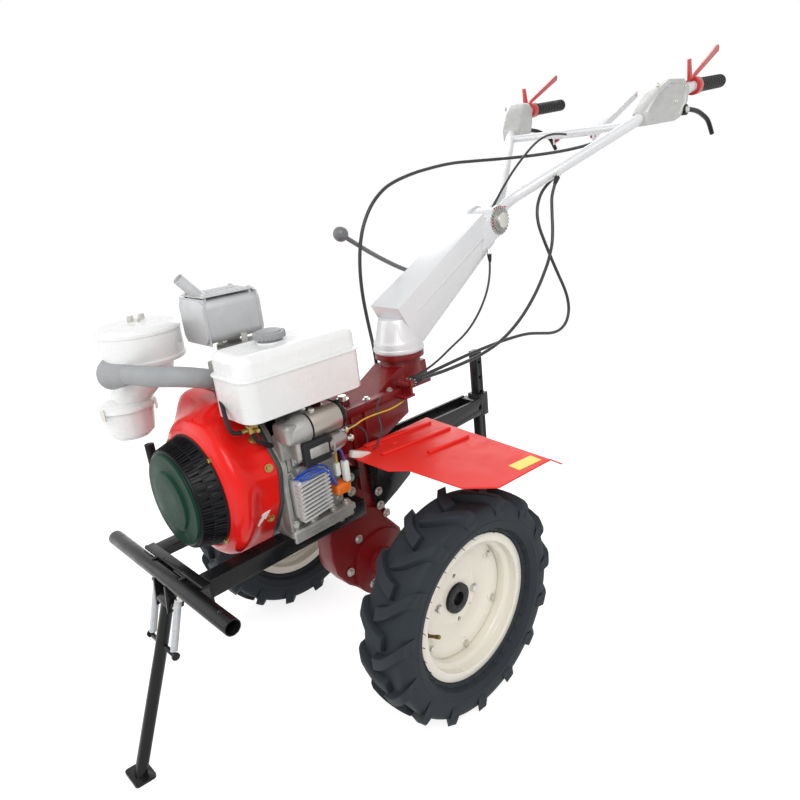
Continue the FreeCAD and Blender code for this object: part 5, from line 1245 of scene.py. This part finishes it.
def makeFender():
    z, t = fender["z"], fender["sheet"]
    sheet = outlinePlate(fender["outline"], "z", z, z + t)
    lip = [(-156, 480, z), (-196, 80, z), (-238, 80, z - fender["lipDrop"]), (-198, 480, z - fender["lipDrop"])]
    lips = loftRings([lip, [(x, y, h + t) for x, y, h in lip]])
    hems = [tubeMesh(route, 1.7, False) for route in (
        [(72, 81.5, z + 1), (72, 226, z + 1), (46, 262, z + 1), (44, 408, z + 1), (2, 466, z + 1),
         (-156, 478.2, z + 1), (-197, 478.2, z - 25)],)]
    ribs = []
    # two long pressings, a short one and a half-round bead along the fold
    for (x0, y0), (x1, y1), wide in (((12, 89), (-166, 113), 15), ((20, 157), (-163, 180), 15),
                                     ((-44, 238), (-150, 252), 13)):
        reach = math.hypot(x1 - x0, y1 - y0)
        rib = bevelled(block(-wide / 2, reach + wide / 2, -wide / 2, wide / 2, -1, fender["ribHigh"]), 4.2, 4)
        rib.transform(Matrix.Translation((x0, y0, z + t)) @ Matrix.Rotation(math.atan2(y1 - y0, x1 - x0), 4, "Z"))
        ribs.append(rib)
    for name, s in (("left", 1), ("right", -1)):
        flip = Matrix.Scale(s, 4, (0, 1, 0))
        mesh = placed(joined([sheet, lips] + hems + ribs), machine @ flip)
        finishPiece("fender_sheet_" + name, mesh, "chassis", "fenderRed",
                    ("fender_" + name,))
        spots = [((x, yy, z + t), (0, 0, 1)) for x, yy in ((-14, 104), (-36, 128))]
        heads = placed(onSpots(domeHead(7.5, 4), spots, 1.0, "fenderRed"), machine @ flip)
        finishPiece("fender_rivets_" + name, heads, "chassis", "fenderRed")
    plate = block(-33, 33, -16, 16, 0.1, 0.9)
    plate.transform(Matrix.Translation((-113, 445, z + t)) @ Matrix.Rotation(math.radians(-8), 4, "Z"))
    piece("fender_plate", [bevelled(plate, 0.3, 1)], "chassis", "plateYellow")


makeFender()
print("stage: fenders")


def makeColumnDetails():
    parts = []
    for s in (-1, 1):
        seam = tubeMesh([(-232, s * 47, 842), (-330, s * 44.5, 892), (-430, s * 42, 943), (-528, s * 39.6, 992)], 2.6)
        parts.append(seam)
    collar = lathe([(50, 0), (63, 0), (64.5, 2), (64.5, 8), (63, 10), (50, 10)], 96)
    parts.append(placed(collar, Matrix.Translation((-200, 0, 748))))
    piece("column_seams", parts, "column", "handleSilver")
    teeth = ringOf(bevelled(block(28, 39, -2.4, 2.4, -1, 3.5), 0.8, 1), 24, 0.0, (0, 0, 1), "handleSilver")
    stars = [placed(teeth, facing((-580, 44, 1021), (0, 1, 0)))]
    disc = lathe([(20, -1), (30, -1), (30, 4.5), (20, 4.5)], 64)
    stars.append(placed(disc, facing((-580, 44, 1021), (0, 1, 0))))
    piece("clamp_star", stars, "column", "castAlloyPaintedShade")
    marks = [
        bevelled(block(-610, -556, 44.2, 45.6, 1052, 1056), 0.4, 1),
        bevelled(block(-552, -546, 44.2, 46.0, 1006, 1034), 1.2, 1)]
    piece("clamp_marks", marks, "column", "leverRed")


bracket = dict(start=(-1010, 228), way=(-190, 67), half=30.0, height=1332.0, rim=3.0,
               outline=[(8, -100), (118, -92), (140, -82), (166, -42), (172, -2), (150, 20), (92, 20), (40, -14),
                        (0, -64)])


def makeBrackets():
    # deep tapered castings with a raised border, one on each tube
    castings, heads = [], []
    for s in (-1, 1):
        start = Vector((bracket["start"][0], s * bracket["start"][1], bracket["height"]))
        way = Vector((bracket["way"][0], s * bracket["way"][1], 0)).normalized()
        out = Vector((-way.y, way.x, 0)) * -s
        middle = sum((Vector((a, b)) for a, b in bracket["outline"]), Vector((0, 0))) / len(bracket["outline"])

        def ring(shrink, offset):
            return [start + way * (middle.x + (a - middle.x) * shrink)
                    + Vector((0, 0, middle.y + (b - middle.y) * shrink))
                    + out * offset for a, b in bracket["outline"]]

        half, rim = bracket["half"], bracket["rim"]
        body = loftRings([ring(0.9, -half), ring(1.0, -half + 6), ring(1.0, half - 6), ring(0.92, half),
                          ring(0.8, half),
                          ring(0.78, half - rim), ring(0.1, half - rim)])
        castings.append(bevelled(body, 1.6, 2, 20))
        for along, up in ((46, 30), (118, -14), (150, 26)):
            heads.append((start + way * along + Vector((0, 0, up - 26)) + out * (half - rim), out))
    piece("lever_castings", castings, "handlebar", "leverAlloy", ("lever_brackets",))
    piece("bracket_screws", [onSpots(hexHead(8, 5, 7, 1.4), heads, 1.0, "zinc")], "handlebar", "zinc")


def makeHandleDetails():
    def onGrip(s, along, up=0.0, out=0.0):
        a, b = Vector((-1200, s * 295, 1332)), Vector((-1416, s * 295, 1352))
        way = (b - a).normalized()
        return a + way * along + Vector((0, s * out, up)), way

    ribs = []
    for s in (-1, 1):
        for i in range(9):
            spot, way = onGrip(s, 62 + 18 * i)
            ring = lathe([(17, -3.2), (19.6, -2.4), (20.1, 0), (19.6, 2.4), (17, 3.2)], 40)
            ribs.append(placed(ring, facing(spot, way)))
        spot, way = onGrip(s, 220)
        ribs.append(turnedAt([(0, -6), (19, -6), (19.8, -4), (19.4, -2), (16, -0.4), (0, -0.4)], 40, spot, way))
    piece("grip_ribs", ribs, "handlebar", "softRubber")
    pins = []
    for s in (-1, 1):
        spot = Vector((-1150, s * 295, 1268))
        pins.append(placed(hexHead(12, 7, 9, 1.6), facing(spot + Vector((0, s * 13, 0)), (0, s, 0))))
        pins.append(barBetween((-1186, s * 288, 1290), (-1170, s * 288, 1262), 4.2, 12))
        pins.append(placed(hexHead(9, 6), facing((-1187, s * 288, 1292), (-0.5, 0, 0.85))))
    piece("lever_pins", pins, "handlebar", "zinc")
    corners = []
    for x, yy, zz in ((-1036, -66, 1219), (-1036, 66, 1219), (-1296, -66, 1337), (-1296, 66, 1337)):
        spot = Vector((x, yy, zz))
        corners.append(turnedAt([(0, -1), (9, -1), (8.4, 4.4), (6, 5.6), (0, 5.8)], 28, spot, (0.41, 0, 0.91)))
    lead = tubeMesh([(-1012, 8, 1229), (-930, 5, 1240), (-840, 1, 1226), (-740, 0, 1166), (-664, 0, 1108),
                     (-604, 0, 1050)], 3.4)
    piece("panel_lead", [lead], "handlebar", "cableBlack")
    piece("panel_studs", corners, "handlebar", "leverRed")


makeColumnDetails()
makeBrackets()
makeHandleDetails()
print("stage: handle")


stops = dict(clutch=(-176, -66, 680.3), throttle=(-146.45, 82, 690), brake=(-146.3, 96, 690), stop=(-146.3, 70, 690))
cables = {  # the real routes, in the machine's frame, from the handlebar or column down to the gearbox cover
    "cable_clutch_upper": ("handlebar", "column", 4.5, [
        (-1010, 190, 1227), (-967, 146, 1204), (-888, 74, 1186), (-805, 4, 1180), (-735, -50, 1179),
        (-646, -86, 1180), (-529, -97, 1180), (-422, -95, 1166)]),
    "cable_clutch": ("column", "chassis", 4.5, [
        (-422, -95, 1166), (-328, -95, 1151), (-257, -95, 1112), (-214, -95, 1060), (-193, -96, 1005),
        (-183, -96, 945),
        (-181, -95, 883), (-184, -92, 825), (-184, -84, 775), (-176, -68, 738), stops["clutch"]]),
    "cable_throttle_upper": ("handlebar", "column", 4.5, [
        (-822, 84, 1128), (-776, 64, 1098), (-736, 62, 1056), (-713, 74, 1004), (-718, 92, 948), (-732, 106, 896)]),
    "cable_throttle": ("column", "chassis", 4.5, [
        (-732, 106, 896), (-748, 118, 846), (-768, 124, 806), (-780, 129, 767), (-779, 132, 730), (-759, 134, 701),
        (-725, 134, 687), (-684, 133, 687), (-632, 129, 699), (-575, 122, 711), (-490, 116, 714), (-406, 110, 712),
        (-320, 101, 706), (-242, 92, 697), (-192, 85, 691.5), stops["throttle"]]),
    "cable_brake_upper": ("handlebar", "column", 4.5, [
        (-775, 107, 1120), (-744, 105, 1078), (-724, 118, 1028), (-708, 130, 978), (-688, 139, 932),
        (-652, 147, 894)]),
    "cable_brake": ("column", "chassis", 4.5, [
        (-652, 147, 894), (-610, 154, 854), (-560, 155, 808), (-505, 151, 764), (-436, 143, 726), (-365, 132, 706),
        (-298, 119, 697), (-240, 108, 692), (-192, 99, 691), stops["brake"]]),
    "cable_stop": ("column", "chassis", 3.0, [
        (-527, 44, 940), (-512, 58, 905), (-484, 68, 850), (-432, 76, 797), (-372, 80, 757), (-310, 79, 734),
        (-258, 78, 712), (-212, 75, 698), (-178, 71.5, 692), stops["stop"]]),
}


def placeOf(point):
    return machine @ Vector(point)


def makeCables():
    for node, (upper, lower, radius, route) in cables.items():
        mesh = tubeMesh([placeOf(point) for point in route], radius / 1000, steps=12)
        sheath = dressed(node + "_sheath", mesh, "cableBlack", 60)
        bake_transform(sheath)
        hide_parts(node)


def makeCableEnds():
    # moulded boots and threaded adjusters where each cable leaves its lever and meets its stop
    boots = {"handlebar": [], "column": [], "chassis": []}
    threads = {"handlebar": [], "column": [], "chassis": []}
    ends = [("cable_clutch_upper", 0, "handlebar"), ("cable_throttle_upper", 0, "handlebar"),
            ("cable_brake_upper", 0, "handlebar"),
            ("cable_stop", 0, "column"), ("cable_clutch", -1, "chassis"), ("cable_throttle", -1, "chassis"),
            ("cable_brake", -1, "chassis"), ("cable_stop", -1, "chassis")]
    for node, at, body in ends:
        route, radius = cables[node][3], cables[node][2]
        tip = Vector(route[at])
        inner = Vector(route[1] if at == 0 else route[-2])
        way = (inner - tip).normalized()
        boots[body].append(turnedAt([(0, 2), (radius + 2.6, 2), (radius + 3.2, 6), (radius + 2, 18),
                                     (radius + 0.6, 26), (0, 26)], 24, tip, way))
        threads[body].append(turnedAt([(0, -9), (radius + 1.2, -9), (radius + 1.2, 2), (radius + 3.4, 2),
                                       (radius + 3.4, 5), (0, 5)], 6, tip, way))
    for body in boots:
        piece("cable_boots_" + body, boots[body], body, "softRubber")
        piece("cable_adjusters_" + body, threads[body], body, "zinc")


makeCables()
makeCableEnds()
print("stage: cables")


def seenRays(tree):
    # 1 where the eye, a gloss or a clear piece looks straight at the ground or the sky
    path = put(tree, "ShaderNodeLightPath")
    eye = put(tree, "ShaderNodeMath", {"operation": "MAXIMUM"}, {
        0: path.outputs["Is Camera Ray"], 1: path.outputs["Is Glossy Ray"]})
    both = put(tree, "ShaderNodeMath", {"operation": "MAXIMUM"}, {
        0: eye.outputs["Value"], 1: path.outputs["Is Transmission Ray"]})
    return both.outputs["Value"]


studio = dict(floor=60.0, floorGlow=1.4, floorShare=0.55, sky=0.55, skySeen=1.0, aim=(0.1, 0, 0.6),
              lamps=[("key", 90, 2.2, (2.2, 2.4, 3.2)), ("fill", 40, 3.0, (2.8, -1.8, 1.8)),
                     ("back", 55, 2.5, (-2.2, -2.0, 2.8))])  # lamps: name, watts, size in metres, place
viewpoint = dict(spot=(1.3125, 1.1969, 1.0794), yaw=-136.14, pitch=14.87, roll=-1.03, lens=29.56, sensor=36.0,
                 shift=(-0.042, -0.007))


def makeStudio():
    mesh = bpy.data.meshes.new("studioFloor")
    h = studio["floor"] / 2
    mesh.from_pydata([(-h, -h, 0), (h, -h, 0), (h, h, 0), (-h, h, 0)], [], [(0, 1, 2, 3)])
    material = bpy.data.materials.new("matt studio floor")
    material.use_nodes = True
    tree = material.node_tree
    tree.nodes.clear()
    seen = seenRays(tree)
    half = put(tree, "ShaderNodeMath", {"operation": "MULTIPLY"}, {0: seen, 1: studio["floorShare"]})
    matt = put(tree, "ShaderNodeBsdfDiffuse", None, {"Color": colour("FFFFFF"), "Roughness": 0.4})
    glow = put(tree, "ShaderNodeEmission", None, {"Color": colour("FFFFFF"), "Strength": studio["floorGlow"]})
    mixed = put(tree, "ShaderNodeMixShader", None, {0: half.outputs["Value"]})
    tree.links.new(matt.outputs["BSDF"], mixed.inputs[1])
    tree.links.new(glow.outputs["Emission"], mixed.inputs[2])
    put(tree, "ShaderNodeOutputMaterial", None, {"Surface": mixed.outputs["Shader"]})
    mesh.materials.append(material)
    floor = linked("studioFloor", mesh)
    world = bpy.data.worlds.new("studio")
    scene.world = world
    world.use_nodes = True
    tree = world.node_tree
    tree.nodes.clear()
    seen = seenRays(tree)
    lit = put(tree, "ShaderNodeBackground", None, {"Color": colour("FFFFFF"), "Strength": studio["sky"]})
    bright = put(tree, "ShaderNodeBackground", None, {"Color": colour("FFFFFF"), "Strength": studio["skySeen"]})
    mix = put(tree, "ShaderNodeMixShader", None, {0: seen})
    tree.links.new(lit.outputs["Background"], mix.inputs[1])
    tree.links.new(bright.outputs["Background"], mix.inputs[2])
    put(tree, "ShaderNodeOutputWorld", None, {"Surface": mix.outputs["Shader"]})
    for name, watts, size, spot in studio["lamps"]:
        lamp = bpy.data.lights.new(name, "AREA")
        lamp.energy = watts
        lamp.size = size
        way = Vector(studio["aim"]) - Vector(spot)
        linked(name, lamp).matrix_world = Matrix.Translation(spot) @ way.to_track_quat("-Z", "Y").to_matrix().to_4x4()


def makeCamera():
    camera = bpy.data.cameras.new("camera")
    camera.lens, camera.sensor_width = viewpoint["lens"], viewpoint["sensor"]
    camera.shift_x, camera.shift_y = viewpoint["shift"]
    yaw, pitch, roll = viewpoint["yaw"], viewpoint["pitch"], viewpoint["roll"]
    turn = (Matrix.Rotation(math.radians(yaw - 90), 4, "Z") @ Matrix.Rotation(math.radians(90 - pitch), 4, "X")
            @ Matrix.Rotation(math.radians(roll), 4, "Z"))
    scene.camera = linked("camera", camera)
    scene.camera.matrix_world = Matrix.Translation(viewpoint["spot"]) @ turn


makeStudio()
makeCamera()
scene.view_settings.view_transform = "Standard"
print("stage: studio and camera")
